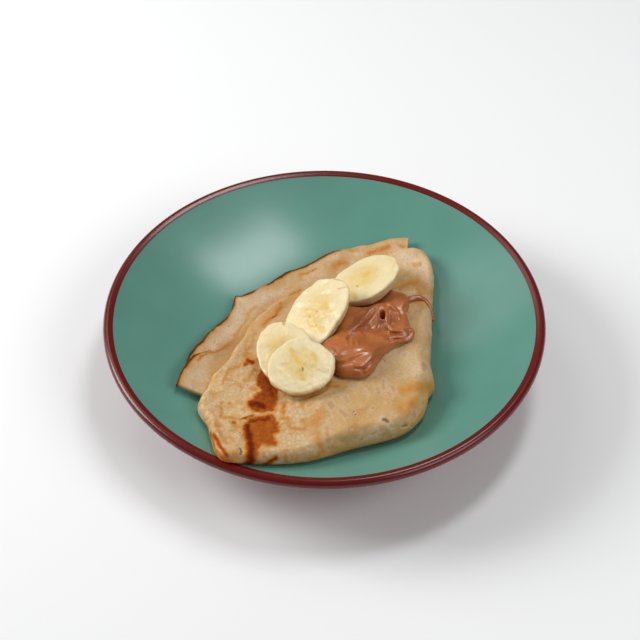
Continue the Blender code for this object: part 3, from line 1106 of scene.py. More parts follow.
SHEET_STROKES = (
    Mark(((369, 254), (378, 251), (388.6, 247)), 2.9, 0.46),
    Mark(((400, 247), (406, 247)), 2.5, 0.41),
    Mark(((335, 267), (345, 265)), 4.3, 0.39),
    Mark(((350, 252), (357, 251)), 2.2, 0.33),
    Mark(((196, 361), (202, 356.5), (207, 354), (214, 354), (222, 350), (228, 346)), 1.6, 0.5),
    Mark(((228, 346), (234, 340), (240, 330), (246, 320), (251, 311), (257, 308)), 1.8, 0.3),
    Mark(((300, 276), (312, 272), (316, 270)), 2.0, 0.4),
    Mark(((304, 268), (300, 278)), 2.4, 0.25),
)
GOLD_FIELDS = (
    Mark(((431, 388), (418, 388), (404, 391)), 7.0, 1.0),
    Mark(((414, 398), (407, 410), (398, 404)), 9.0, 0.8),
    Mark(((412, 424), (395, 442), (370, 450)), 9.0, 0.6),
    Mark(((402, 287), (418, 284), (430, 292)), 6.5, 0.8),
    Mark(((415, 300), (424, 306)), 5.0, 0.6),
    Mark(((360, 415), (345, 440)), 13.0, 0.4),
    Mark(((213, 368), (224, 356)), 7.0, 0.6),
    Mark(((328, 384), (345, 385)), 4.0, 0.7),
    Mark(((316, 420), (322, 440)), 6.0, 0.5),
    Mark(((262, 322), (280, 306), (300, 294)), 5.0, 0.6),
    Mark(((330, 270), (345, 265)), 6.0, 0.6),
    Mark(((275, 288), (282, 284)), 5.0, 0.5),
    Mark(((366, 255), (388, 248)), 5.0, 0.6),
    Mark(((232, 350), (246, 330), (258, 314)), 3.5, 0.4),
    Mark(((262, 312), (300, 280)), 4.0, 0.35),
    Mark(((300, 462), (340, 453), (380, 445), (412, 430), (428, 406)), 5.0, 0.65),
    Mark(((204, 405), (214, 392)), 5.0, 0.4),
    Mark(((213, 357), (222, 352), (236, 340)), 3.0, 0.6),
)
ASH_FIELDS = (
    Mark(((240, 300), (250, 306), (262, 298)), 8.0, 1.0),
    Mark(((238, 312), (234, 326), (224, 338), (212, 346)), 7.0, 1.0),
    Mark(((280, 290), (300, 283), (312, 277)), 6.0, 0.6),
    Mark(((306, 262), (320, 262)), 5.0, 0.5),
    Mark(((340, 272), (352, 262)), 4.0, 0.7),
    Mark(((268, 297), (282, 292)), 6.0, 0.8),
    Mark(((318, 274), (336, 268)), 5.0, 0.5),
    Mark(((372, 246), (394, 242)), 4.0, 0.6),
    Mark(((352, 256), (374, 252)), 5.0, 0.5),
    Mark(((322, 260), (336, 256)), 4.0, 0.6),
    Mark(((190, 384), (200, 372), (206, 366)), 8.0, 0.55),
    Mark(((398, 292), (413, 293)), 4.5, 0.7),
    Mark(((396, 254), (412, 258), (426, 270), (431, 290)), 9.0, 1.0),
    Mark(((425, 310), (428, 330)), 6.0, 0.5),
    Mark(((385, 360), (402, 350), (416, 372)), 9.0, 0.4),
    Mark(((300, 400), (320, 400), (340, 396)), 6.0, 0.25),
    Mark(((285, 436), (300, 442)), 6.0, 0.25),
    Mark(((264, 452), (276, 450)), 5.0, 0.4),
    Mark(((228, 446), (236, 438)), 5.0, 0.45),
    Mark(((228, 386), (240, 384)), 5.0, 0.45),
    Mark(((246, 408), (254, 394)), 5.0, 0.35),
    Mark(((382, 421), (392, 427)), 5.0, 0.6),
    Mark(((400, 424), (408, 424), (414, 412)), 4.0, 0.5),
    Mark(((352, 440), (366, 436), (380, 430)), 4.0, 0.5),
)
MAUVE_SPOTS = (
    Mark(((330.5, 404), (333, 407)), 3.2, 0.8),
    Mark(((340.7, 410.9), (345.4, 415)), 2.6, 0.75),
    Mark(((329.3, 416.2),), 2.4, 0.65),
    Mark(((322, 402.8),), 2.6, 0.55),
    Mark(((327, 427), (328.5, 441)), 3.6, 0.6),
    Mark(((345, 397), (348, 401)), 3.4, 0.55),
    Mark(((338.7, 398), (341, 403)), 2.4, 0.5),
    Mark(((305, 413.5),), 4.2, 0.45),
    Mark(((423.8, 365), (424, 369)), 3.0, 0.85),
    Mark(((418.8, 347.8),), 2.8, 0.55),
    Mark(((403.9, 354),), 3.4, 0.55),
    Mark(((398.9, 347.4),), 2.6, 0.55),
    Mark(((412, 352), (414, 356)), 2.4, 0.45),
    Mark(((383.4, 382), (383.8, 387)), 2.6, 0.7),
    Mark(((377, 389), (379, 391)), 2.6, 0.7),
    Mark(((372, 384.5),), 2.2, 0.5),
    Mark(((388.5, 392), (390, 395)), 2.2, 0.65),
    Mark(((393, 387), (394.5, 390)), 2.2, 0.65),
    Mark(((394, 396),), 1.6, 0.55),
    Mark(((399, 395),), 1.5, 0.75),
    Mark(((365, 391), (368, 394)), 2.4, 0.4),
    Mark(((352, 386), (356, 389)), 2.6, 0.4),
    # Painted shadow under the spread's lower edge, drawn in the mauve tone.
    Mark(((370, 378), (376, 376)), 2.2, 0.45),
    Mark(((413.8, 411.5), (413.8, 415)), 2.2, 1.3),
    Mark(((202, 377), (206, 384)), 7.0, 0.3),
    Mark(((214, 360), (222, 356)), 4.0, 0.45),
)
PIT_SPOTS = (
    Mark(((240.9, 449), (241, 454)), 1.4, 1.3),
    Mark(((239.8, 431.8),), 1.3, 0.7),
    Mark(((384, 419.5), (388, 421)), 2.8, 0.85),
    Mark(((390, 424), (393, 428)), 2.4, 0.45),
    Mark(((403.5, 426.5), (406, 425)), 2.0, 0.8),
    Mark(((411.3, 426.2),), 1.5, 0.65),
    Mark(((392.3, 431.3),), 1.5, 0.5),
    Mark(((371, 434.5), (376, 432.5)), 2.2, 0.5),
    Mark(((359, 440.5), (363, 438.5)), 2.2, 0.55),
    Mark(((354, 437.5),), 1.7, 0.65),
    Mark(((353.4, 412.2),), 1.2, 1.0),
    Mark(((355.8, 414.6),), 1.2, 0.9),
    Mark(((358.4, 422.6),), 1.0, 0.7),
    Mark(((372.4, 408),), 1.2, 0.9),
    Mark(((366, 415.4),), 1.1, 0.8),
    Mark(((351.7, 428.9),), 1.1, 0.7),
    Mark(((383.6, 361),), 1.5, 0.6),
    Mark(((305, 444), (311, 448)), 2.6, 0.4),
    Mark(((246, 384), (248, 385)), 1.5, 0.6),
    Mark(((253.6, 372.6),), 1.3, 0.6),
    Mark(((415, 293), (409, 293.5)), 1.8, 0.35),
    Mark(((232, 401),), 1.3, 0.4),
    Mark(((250, 383),), 1.2, 0.45),
    Mark(((240, 378),), 1.2, 0.4),
)
SHEET_PITS = (
    Mark(((204.7, 349.7),), 1.0, 0.8),
    Mark(((215.3, 341.3), (214, 344)), 1.4, 0.45),
    Mark(((227.9, 327.6),), 0.9, 0.9),
    Mark(((231, 323.4),), 0.8, 0.7),
    Mark(((247.9, 302.4),), 1.0, 0.6),
    Mark(((271, 295),), 0.9, 0.5),
    Mark(((336, 255),), 0.9, 0.9),
    Mark(((373.4, 249.4),), 1.0, 0.9),
    Mark(((361.5, 247.8),), 0.9, 0.8),
    Mark(((395, 248.6),), 1.2, 0.7),
    Mark(((338, 260.5),), 1.6, 0.3),
    Mark(((355, 256),), 1.6, 0.3),
)
PACKET_WRINKLES = (
    Wrinkle(((220, 424.5), (238, 420), (252, 415.5), (264, 413), (288, 412)), 2.1, 0.56 * MM),
    Wrinkle(((226, 421), (246, 414), (262, 409.5)), 2.0, -0.31 * MM),
    Wrinkle(((246, 419.5), (262, 416.5), (280, 416)), 1.7, -0.25 * MM),
    Wrinkle(((231, 345), (236, 336), (245, 321), (250, 312), (263, 308)), 2.4, 0.43 * MM),
    Wrinkle(((235, 346), (242, 336), (252.6, 320.6), (260, 312)), 2.4, 0.37 * MM),
    Wrinkle(((320, 386.5), (330, 384.5), (345, 385)), 2.5, 0.56 * MM),
    Wrinkle(((322, 389), (331, 390.5), (339, 389.5)), 2.0, -0.43 * MM),
    Wrinkle(((230, 369), (224, 377), (222, 390)), 3.4, 0.31 * MM),
    Wrinkle(((207, 427), (216, 441), (226, 456)), 3.1, -0.37 * MM),
    Wrinkle(((212, 426), (222, 441), (232, 457)), 3.4, 0.43 * MM),
    Wrinkle(((244, 432), (243, 444), (241, 455)), 2.8, -0.43 * MM),
    Wrinkle(((404, 282), (418, 280), (430, 284)), 3.1, -0.31 * MM),
    Wrinkle(((402, 258), (420, 262), (432, 272)), 3.1, -0.25 * MM),
    Wrinkle(((300, 440), (308, 446), (318, 448)), 3.6, -0.37 * MM),
    Wrinkle(((322, 455), (330, 452), (336, 446)), 3.6, -0.25 * MM),
)


@dataclass(frozen=True)
class PacketForm:
    """Sizes of the folded packet: its outline, anticlockwise from the front left, and its swellings."""

    middle: tuple[float, float] = (0.0, -0.025)
    thin: float = 0.0070
    waist: float = 0.3
    upper_round: float = 0.55
    lower_round: float = 0.3
    outline: Route = (
        (-0.0440, -0.1030), (-0.0120, -0.0977), (0.0130, -0.0853), (0.0370, -0.0765), (0.0480, -0.0645),
        (0.0514, -0.0540), (0.0525, -0.0480), (0.0561, -0.0408), (0.0550, -0.0270), (0.0562, -0.0080),
        (0.0580, 0.0200), (0.0600, 0.0390), (0.0585, 0.0505), (0.0530, 0.0575), (0.0420, 0.0585),
        (0.0130, 0.0480), (-0.0120, 0.0365), (-0.0270, 0.0285), (-0.0385, 0.0135), (-0.0437, 0.0015),
        (-0.0489, -0.0127), (-0.0520, -0.0215), (-0.0582, -0.0331), (-0.0608, -0.0480),
        (-0.0629, -0.0610), (-0.0575, -0.0735), (-0.0549, -0.0858), (-0.0515, -0.0985),
    )
    swells: tuple[Swell, ...] = (
        Swell((-0.0097, -0.0459), (0.0239, 0.0327), 0.0101),
        Swell((0.0323, -0.0162), (0.0264, 0.0464), 0.0127),
        Swell((-0.0080, -0.0110), (0.0140, 0.0130), 0.0020),
        Swell((0.0520, -0.0410), (0.0070, 0.0060), 0.0030),
    )

    def thickness(self, x: Points, y: Points) -> Points:
        """Height of the upper skin over the plate, away from the edge."""
        return self.thin + sum(swell.at(x, y) for swell in self.swells)

    def top(self, x: Points, y: Points) -> Points:
        """Height of the upper skin over the table, away from the edge."""
        return PLATE.height(x, y) + GAP + self.thickness(x, y)


PACKET = PacketForm()


@dataclass(frozen=True)
class SheetForm:
    """A layer of the crepe between its cooked rim and a line that the packet hides."""

    name: str
    rim: Route
    hidden: Route
    columns: int
    rows: int
    lift: float
    ripple: float
    ripples: float
    step: float = 0.0
    step_at: float = 0.44
    step_blend: float = 0.012
    thickness: float = 2.2 * MM
    browning: Route = ((0.0, 1.0), (1.0, 1.0))

    def height(self, along: Points, out: Points) -> Points:
        """How far the sheet's underside lies over the plate.

        Args:
            along: Share of the way along the rim.
            out: Share of the way from the hidden line to the rim.

        Returns:
            The lift.
        """
        wave = self.ripple * out**2 * (1 + np.sin(self.ripples * math.tau * along))
        return self.lift + wave + self.step / (1 + np.exp((self.step_at - along) / self.step_blend))

    def browned(self, along: Points) -> Points:
        """How strongly the rim is browned along its length."""
        return np.interp(along, *np.array(self.browning).T)


BACK_SHEET = SheetForm(
    name="crepe_back_sheet",
    rim=(
        (-0.0655, -0.0440), (-0.0705, -0.0320), (-0.0715, -0.0205), (-0.0690, -0.0132),
        (-0.0647, -0.0055), (-0.0583, 0.0075), (-0.0515, 0.0172), (-0.0492, 0.0230), (-0.0488, 0.0298),
        (-0.0445, 0.0312), (-0.0320, 0.0402), (-0.0184, 0.0503), (0.0010, 0.0608), (0.0133, 0.0645),
        (0.0262, 0.0667), (0.0373, 0.0677), (0.0470, 0.0672),
    ),
    hidden=(
        (-0.0480, -0.0460), (-0.0400, -0.0200), (-0.0220, 0.0100), (0.0080, 0.0330), (0.0440, 0.0440),
    ),
    columns=420,
    rows=60,
    lift=0.9 * MM,
    ripple=0.7 * MM,
    ripples=5.5,
    step=1.0 * MM,
    browning=((0, 1.3), (0.4, 1.3), (0.5, 1.2), (0.56, 1.3), (0.62, 1.6), (0.73, 1.6), (0.8, 0.6), (1, 0.4)),
)
FLAP = SheetForm(
    name="crepe_flap",
    rim=(
        (-0.0748, -0.0455), (-0.0722, -0.0315), (-0.0685, -0.0217), (-0.0629, -0.0162),
        (-0.0599, -0.0138), (-0.0572, -0.0142), (-0.0530, -0.0094), (-0.0493, -0.0040),
        (-0.0455, 0.0036), (-0.0426, 0.0130), (-0.0400, 0.0205), (-0.0350, 0.0245), (-0.0285, 0.0240),
    ),
    hidden=(
        (-0.0500, -0.0510), (-0.0460, -0.0360), (-0.0400, -0.0100), (-0.0250, 0.0150),
    ),
    columns=300,
    rows=60,
    lift=2.5 * MM,
    ripple=1.2 * MM,
    ripples=1.0,
    browning=((0, 1.3), (0.2, 1.2), (0.32, 1.1), (0.45, 0.8), (0.55, 0.3), (1, 0.1)),
)


@dataclass(frozen=True)
class SliceForm:
    """One banana slice: the middle and lean of its cut face, its half sizes, thickness and turn."""

    name: str
    middle: tuple[float, float, float]
    lean: tuple[float, float]
    half_length: float
    half_width: float
    thickness: float
    turn: float
    shape: tuple[float, ...]
    taper: float = 0.06
    hearts: tuple[Mark, ...] = ()
    seeds: tuple[Mark, ...] = ()
    stains_and_shade: tuple[Mark, ...] = ()

    def frame(self) -> Matrix:
        """The face's middle and directions."""
        up = Vector((*self.lean, math.sqrt(1 - self.lean[0] ** 2 - self.lean[1] ** 2)))
        across = Vector((0, 1, 0)).cross(up).normalized()
        axes = Matrix((across, up.cross(across), up)).transposed().to_4x4()
        return Matrix.Translation(self.middle) @ axes @ Matrix.Rotation(math.radians(self.turn), 4, "Z")

    def lobe(self, angle: Points) -> Points:
        """How far the outline stands out at an angle, next to a plain oval."""
        place = np.arange(len(self.shape) + 1) / len(self.shape) * math.tau
        fine = smooth_line([(value,) for value in self.shape], 720, True)[:, 0]
        turns = np.interp(angle % math.tau, place, np.arange(len(place)))
        return np.interp(turns / len(self.shape) * 720, np.arange(721), np.append(fine, fine[0]))

    def press(self, points: Points, soft: float = 0.0) -> Points:
        """Pushes what lies inside the slice out under it.

        Args:
            points: Points as rows of three.
            soft: Width of the dent's rounded edge in metres.

        Returns:
            The moved points.
        """
        frame = np.array(self.frame())
        local = (points - frame[:3, 3]) @ frame[:3, :3]
        angle = np.arctan2(local[:, 1] / self.half_width, local[:, 0] / self.half_length)
        out = np.hypot(local[:, 0] / self.half_length, local[:, 1] / self.half_width) / self.lobe(angle)
        edge = 1 + GAP / self.half_width
        reach = edge + soft / self.half_width
        rounding = 3 * soft * step_up(out, edge, reach) if soft else 0.0
        level = -self.thickness - GAP + rounding
        over = (out < reach) & (local[:, 2] > level)
        moved = points.copy()
        moved[:, 2] -= np.where(over, (local[:, 2] - level) / frame[2, 2], 0)
        return moved


SLICES = (
    SliceForm(
        name="banana_slice_1",
        middle=(-0.0118, -0.0437, 0.0450),
        lean=(0.014, -0.239),
        half_length=0.0165,
        half_width=0.0167,
        thickness=0.0065,
        turn=86.8,
        shape=(
            1.00, 1.01, 0.95, 0.93, 0.97, 1.06, 1.07, 1.04,
            1.00, 0.94, 0.91, 0.96, 1.05, 1.06, 1.01, 0.96,
        ),
        taper=0.09,
        hearts=(
            Mark(((291.5, 351), (294, 356), (298, 360.5), (304, 364)), 3.4, 0.95),
            Mark(((313, 355), (316, 361)), 3.2, 0.8),
            Mark(((300.5, 371), (302.5, 378)), 3.4, 0.95),
            Mark(((304, 364), (309, 363), (313, 358)), 1.2, 0.4),
            Mark(((303, 365),), 9.0, 0.4),
        ),
        seeds=(Mark(((302.6, 368), (303, 370)), 1.1, 0.9), Mark(((304, 363.5),), 1.0, 0.5)),
        # Painted shade along the slice's lower edge, in the stain brown.
        stains_and_shade=(
            Mark(((276, 388.5), (281, 392), (288, 395.5), (298, 397.5), (308, 395), (318, 390)), 1.5, 0.8),
            Mark(((281, 391),), 2.2, 0.8),
        ),
    ),
    SliceForm(
        name="banana_slice_2",
        middle=(-0.0202, -0.0304, 0.0410),
        lean=(-0.069, -0.164),
        half_length=0.0194,
        half_width=0.0149,
        thickness=0.0065,
        turn=101.5,
        taper=0.12,
        shape=(
            1.01, 1.03, 1.03, 1.00, 0.96, 0.98, 1.06, 1.00,
            0.98, 0.99, 0.99, 1.00, 1.00, 0.97, 0.98, 1.01,
        ),
        hearts=(Mark(((266, 338), (274, 346)), 7.0, 0.35), Mark(((283, 341), (290, 346)), 5.0, 0.5)),
        stains_and_shade=(Mark(((283.5, 321), (284, 324)), 2.0, 0.75), Mark(((266, 366), (271, 377)), 1.8, 0.3)),
    ),
    SliceForm(
        name="banana_slice_3",
        middle=(-0.0035, -0.0013, 0.0415),
        lean=(-0.468, -0.135),
        half_length=0.0212,
        half_width=0.0160,
        thickness=0.0073,
        turn=66.6,
        taper=0.22,
        shape=(
            0.93, 0.95, 0.99, 1.01, 1.03, 1.01, 0.99, 1.00,
            1.17, 1.34, 1.22, 0.98, 0.93, 1.00, 1.14, 1.00,
        ),
        hearts=(
            Mark(((321, 306), (326, 305)), 4.6, 0.95),
            Mark(((306, 311), (311, 320)), 4.0, 0.45),
            Mark(((309, 322), (315, 328), (322, 330)), 4.6, 0.95),
            Mark(((316, 316),), 12.0, 0.45),
        ),
        seeds=(
            Mark(((317.3, 311),), 1.0, 0.8),
            Mark(((309.8, 316),), 1.0, 0.8),
            Mark(((316.3, 325),), 1.0, 0.6),
        ),
        stains_and_shade=(
            Mark(((334, 279), (343, 280.5), (348, 282.5), (351, 286)), 0.9, 0.6),
            Mark(((338, 288.5), (345, 287), (351, 286)), 1.0, 0.6),
            # Painted shade line where this slice meets slice 2's edge.
            Mark(((300, 328), (306, 333), (312, 340)), 1.4, 0.5),
        ),
    ),
    SliceForm(
        name="banana_slice_4",
        middle=(0.0204, 0.0282, 0.0376),
        lean=(-0.407, 0.164),
        half_length=0.0184,
        half_width=0.0191,
        thickness=0.0087,
        turn=82.4,
        taper=0.26,
        shape=(
            1.00, 0.98, 0.95, 0.96, 0.98, 1.01, 1.08, 1.18,
            1.18, 1.12, 1.10, 1.12, 1.12, 1.10, 1.03, 1.00,
        ),
        hearts=(
            Mark(((364, 276), (368, 273)), 2.8, 0.95),
            Mark(((360, 285), (366, 281)), 2.6, 0.4),
            Mark(((366, 279),), 11.0, 0.45),
            Mark(((389, 258), (394, 264), (392, 270)), 3.0, 0.45),
            Mark(((352, 291), (355, 298)), 3.4, 0.75),
        ),
        seeds=(Mark(((357.5, 285.8),), 1.2, 0.8), Mark(((383.6, 274.5),), 1.1, 0.5)),
        stains_and_shade=(Mark(((356, 308), (372, 301), (384, 293)), 2.2, 0.35),),
    ),
)


@dataclass
class Crepe:
    """The folded crepe: its packet, its back sheet and its corner flap.

    Each relief is a height and the size of its swellings. The drift and the jag of what the photo's
    pixels place are in pixels, with the size of their swirls.
    """

    packet: PacketForm = PACKET
    sheets: tuple[SheetForm, ...] = (BACK_SHEET, FLAP)
    finish: BatterFinish = field(default_factory=BatterFinish)
    mound: Mound = Mound(460, 130, 34, 22)
    broad_relief: tuple[float, float] = (0.6 * MM, 10 * MM)
    fine_relief: tuple[float, float] = (0.3 * MM, 3.6 * MM)
    pit_depth: float = 0.5 * MM
    dent_edge: float = 0.4 * MM
    relief_rings: tuple[int, int] = (6, 8)
    drift: tuple[float, float] = (0.5, 5 * MM)
    jag: tuple[float, float] = (0.9, 1.5 * MM)
    field_drift: float = 0.6
    spot_jag: float = 0.7
    lace_columns: tuple[float, float] = (285, 345)
    lace_rows: tuple[float, float] = (320, 370)
    rim_fade: float = 1.5 * MM
    rim_relief: tuple[float, float] = (0.35 * MM, 5 * MM)
    sheet_relief: tuple[float, float] = (0.25 * MM, 9 * MM)
    noise: Noise = field(default_factory=lambda: Noise(11))

    def packet_body(self) -> MoundBody:
        """The packet's sizes, as a mound on the plate."""
        form = self.packet
        return MoundBody(
            middle=form.middle,
            upper=lambda place: form.upper_round * form.thickness(*place.T),
            lower=lambda place: form.lower_round * form.thickness(*place.T),
            waist=lambda place: form.waist * form.thickness(*place.T),
            base=lambda place: PLATE.height(*place.T) + GAP,
            rise=lambda place: form.thickness(*place.T),
        )

    def crumple(self, points: Points, normals: Points, up: Points) -> Points:
        """Adds the skin's own unevenness, wrinkles and pits.

        Args:
            points: The smooth points.
            normals: Their normals.
            up: How far each may move, from 0 to 1.

        Returns:
            The crumpled points.
        """
        pixels = PHOTO.pixels(points)
        seen = PHOTO.facing(points, normals)
        relief = self.broad_relief[0] * self.noise(points, self.broad_relief[1], 2)
        relief += self.fine_relief[0] * self.noise(points + 0.3, self.fine_relief[1], 2)
        relief += seen * sum(wrinkle.at(pixels) for wrinkle in PACKET_WRINKLES)
        relief -= self.pit_depth * seen * strongest(PIT_SPOTS, pixels)
        return points + normals * (relief * up)[:, None]

    def mark(self, made: Mesh, marks: Sequence[Mark], pits: Sequence[Mark], lace: float) -> None:
        """Stores what the finish reads: browning with painted shade under the front slice, gold and ashen
        fields, mauve spots with a painted shadow under the spread, pits and lace.

        Args:
            made: The piece.
            marks: Its browned strokes.
            pits: Its pits.
            lace: Strength of the net of browning on it.
        """
        points, normals = made.points, made.normals
        push = np.stack([self.noise(points + shift, self.drift[1], 3) for shift in (0.1, 0.2)], axis=1)
        jag = np.stack([self.noise(points + shift, self.jag[1], 2) for shift in (0.3, 0.4)], axis=1)
        exact = PHOTO.pixels(points) + self.drift[0] * push + self.jag[0] * jag
        pixels = exact + self.field_drift * push
        seen = PHOTO.facing(points, normals)
        unseen = (1 - seen) * step_up(self.noise(points + 0.5, 16 * MM, 2), 0.2, 1.0) * 0.6
        made.store("toast", seen * strongest(marks, pixels) + unseen)
        made.store("gold", seen * strongest(GOLD_FIELDS, pixels) + (1 - seen) * 0.3)
        made.store("mauve", seen * strongest(MAUVE_SPOTS, exact + self.spot_jag * jag))
        made.store("pit", np.clip(seen * strongest(pits, exact), 0, 1))
        made.store("ash", seen * strongest(ASH_FIELDS, pixels))
        left = 1 - step_up(pixels[:, 0], *self.lace_columns)
        front = step_up(pixels[:, 1], *self.lace_rows)
        made.store("lace", lace * (0.2 + 0.8 * left * front))

    def build_packet(self, skin: bpy.types.Material) -> Mesh:
        """The plump packet, pressed under the slices."""
        mound = self.mound
        made, column, ring = sphere("crepe_packet", mound.columns, mound.rings)
        made.points = mound.shape(self.packet.outline, column, ring, self.packet_body())
        up = step_up(mound.widest - ring, -self.relief_rings[0], self.relief_rings[1])
        made.points = self.crumple(made.points, made.normals, up)
        self.mark(made, DARK_PATCHES + ORANGE_STROKES, PIT_SPOTS, 1.0)
        made.store("rim", np.zeros(len(made.data.vertices)))
        points = made.points
        for form in SLICES:
            points = form.press(points, self.dent_edge)
        made.points = points
        return made.finish(skin, "crepe", "batter")

    def build_sheet(self, form: SheetForm, skin: bpy.types.Material) -> Mesh:
        """One layer, from a grid with Solidify."""
        shape = bmesh.new()
        bmesh.ops.create_grid(shape, x_segments=form.columns, y_segments=form.rows, size=1.0)
        made = Mesh(form.name, shape)
        x, y, _ = made.points.T
        along, out = (x + 1) / 2, (y + 1) / 2
        column = np.rint(along * form.columns).astype(int)
        rim = smooth_line(form.rim, form.columns + 1)[column]
        hidden = smooth_line(form.hidden, form.columns + 1)[column]
        spot = hidden + (rim - hidden) * out[:, None]
        rise, size = self.rim_relief
        ragged = rise * self.noise(np.column_stack([spot, 0 * x]), size, 3) * out**6
        away = rim - hidden
        spot += away / np.linalg.norm(away, axis=1)[:, None] * ragged[:, None]
        lift = form.height(along, out) + GAP + form.thickness / 2
        level = PLATE.height(spot[:, 0], spot[:, 1]) + lift
        rise, size = self.sheet_relief
        level += rise * (1 + self.noise(np.column_stack([spot, 0 * x]), size, 2))
        made.points = np.column_stack([spot, level])
        patchy = 0.8 + 0.4 * self.noise(np.column_stack([spot, 0 * x]) + 0.7, 7 * MM, 2)
        brown = form.browned(along) * patchy
        made.store("rim", brown * np.exp(-(1 - out) * np.linalg.norm(away, axis=1) / self.rim_fade))
        solidify = made.object.modifiers.new("thickness", "SOLIDIFY")
        solidify.thickness = form.thickness
        solidify.offset = 0.0
        self.mark(made, ORANGE_STROKES + SHEET_STROKES, SHEET_PITS, 0.65)
        return made.finish(skin, "crepe", "batter")

    def build(self) -> list[Mesh]:
        """Builds every layer."""
        skin = self.finish.material()
        return [self.build_packet(skin), *(self.build_sheet(form, skin) for form in self.sheets)]


@dataclass
class BananaSlices:
    """The slices, uppermost first, each pressed to fit under the ones above it.

    The relief of the faces is a height and the size of its swellings.
    """

    forms: tuple[SliceForm, ...] = SLICES
    finish: BananaFinish = field(default_factory=BananaFinish)
    columns: int = 200
    rings: int = 120
    corner: float = 1.5 * MM
    corner_steps: int = 7
    rough_edge: float = 0.022
    bulge: float = 0.012
    face_relief: tuple[float, float] = (0.36 * MM, 5 * MM)
    droop: float = 0.35 * MM
    crown: float = 0.25 * MM
    noise: Noise = field(default_factory=lambda: Noise(5))

    def section(self, form: SliceForm) -> Points:
        """Points along a slice's section, from the middle of its face to the middle below.

        Args:
            form: The slice's sizes.

        Returns:
            Rows of the distance outwards and the height.
        """
        turn = np.radians(np.linspace(90, 0, self.corner_steps))
        corner = self.corner
        reach = form.half_width
        upper = np.stack([reach - corner + corner * np.cos(turn), -corner + corner * np.sin(turn)], axis=1)
        lower = np.stack([upper[::-1, 0], -form.thickness - upper[::-1, 1]], axis=1)
        line = np.concatenate([[(0, 0)], upper, lower, [(0, -form.thickness)]])
        far = np.concatenate([[0], np.cumsum(np.linalg.norm(np.diff(line, axis=0), axis=1))])
        wanted = np.linspace(0, far[-1], self.rings + 1)
        return np.stack([np.interp(wanted, far, line[:, k]) for k in (0, 1)], axis=1)

    def build_slice(self, form: SliceForm, above: Sequence[SliceForm], skin: bpy.types.Material) -> Mesh:
        """Builds one slice.

        Args:
            form: Its sizes.
            above: The slices that lie on it.
            skin: Its finish.

        Returns:
            The piece.
        """
        made, column, ring = sphere(f"{form.name}_flesh", self.columns, self.rings)
        out, level = self.section(form)[ring].T
        angle = column / self.columns * math.tau
        share = out / form.half_width
        shift = np.array(form.middle) * 40
        deep = np.clip(-level / form.thickness, 0, 1)
        wall = np.stack([3 * np.cos(angle), 3 * np.sin(angle), level / MM / 3], axis=1)
        rough = self.noise(wall + shift, 0.8, 3)
        stand = form.lobe(angle) * (1 + self.rough_edge * rough * share) * (1 - form.taper * deep)
        bulge = 1 + self.bulge * np.sin(deep * math.pi) * (share > 0.8)
        x = share * form.half_length * np.cos(angle) * stand * bulge
        y = share * form.half_width * np.sin(angle) * stand * bulge
        flat = np.stack([x, y, 0 * x], axis=1)
        height, size = self.face_relief
        uneven = height * self.noise(flat + shift, size, 3) - self.droop * step_up(share, 0.55, 1.0)
        uneven += self.crown * step_up(-share, -0.4, -0.1)
        z = level + step_up(level, -form.thickness / 2, 0) * uneven
        frame = np.array(form.frame())
        points = np.stack([x, y, z], axis=1) @ frame[:3, :3].T + frame[:3, 3]
        for upper in above:
            points = upper.press(points)
        made.points = points
        side = step_up(-level, 0.6 * MM, 1.8 * MM)
        made.store("side", side)
        pixels = PHOTO.pixels(points) + 0.6 * np.stack([rough, -rough], axis=1)
        for name, marks in (("heart", form.hearts), ("seeds", form.seeds), ("stain", form.stains_and_shade)):
            seen = PHOTO.facing(points, made.normals) if marks else 0
            made.store(name, seen * strongest(marks or (Mark(((0, 0),), 1, 0),), pixels))
        made.store_map("disc", np.stack([x / form.half_length, y / form.half_width], axis=1))
        return made.finish(skin, form.name, "banana")

    def build(self) -> list[Mesh]:
        """Builds every slice."""
        skin = self.finish.material()
        return [self.build_slice(form, self.forms[:i], skin) for i, form in enumerate(self.forms)]


@dataclass(frozen=True)
class Ribbon:
    """A round strand of spread: points in plan, with height over the packet and radius in mm."""

    points: Route


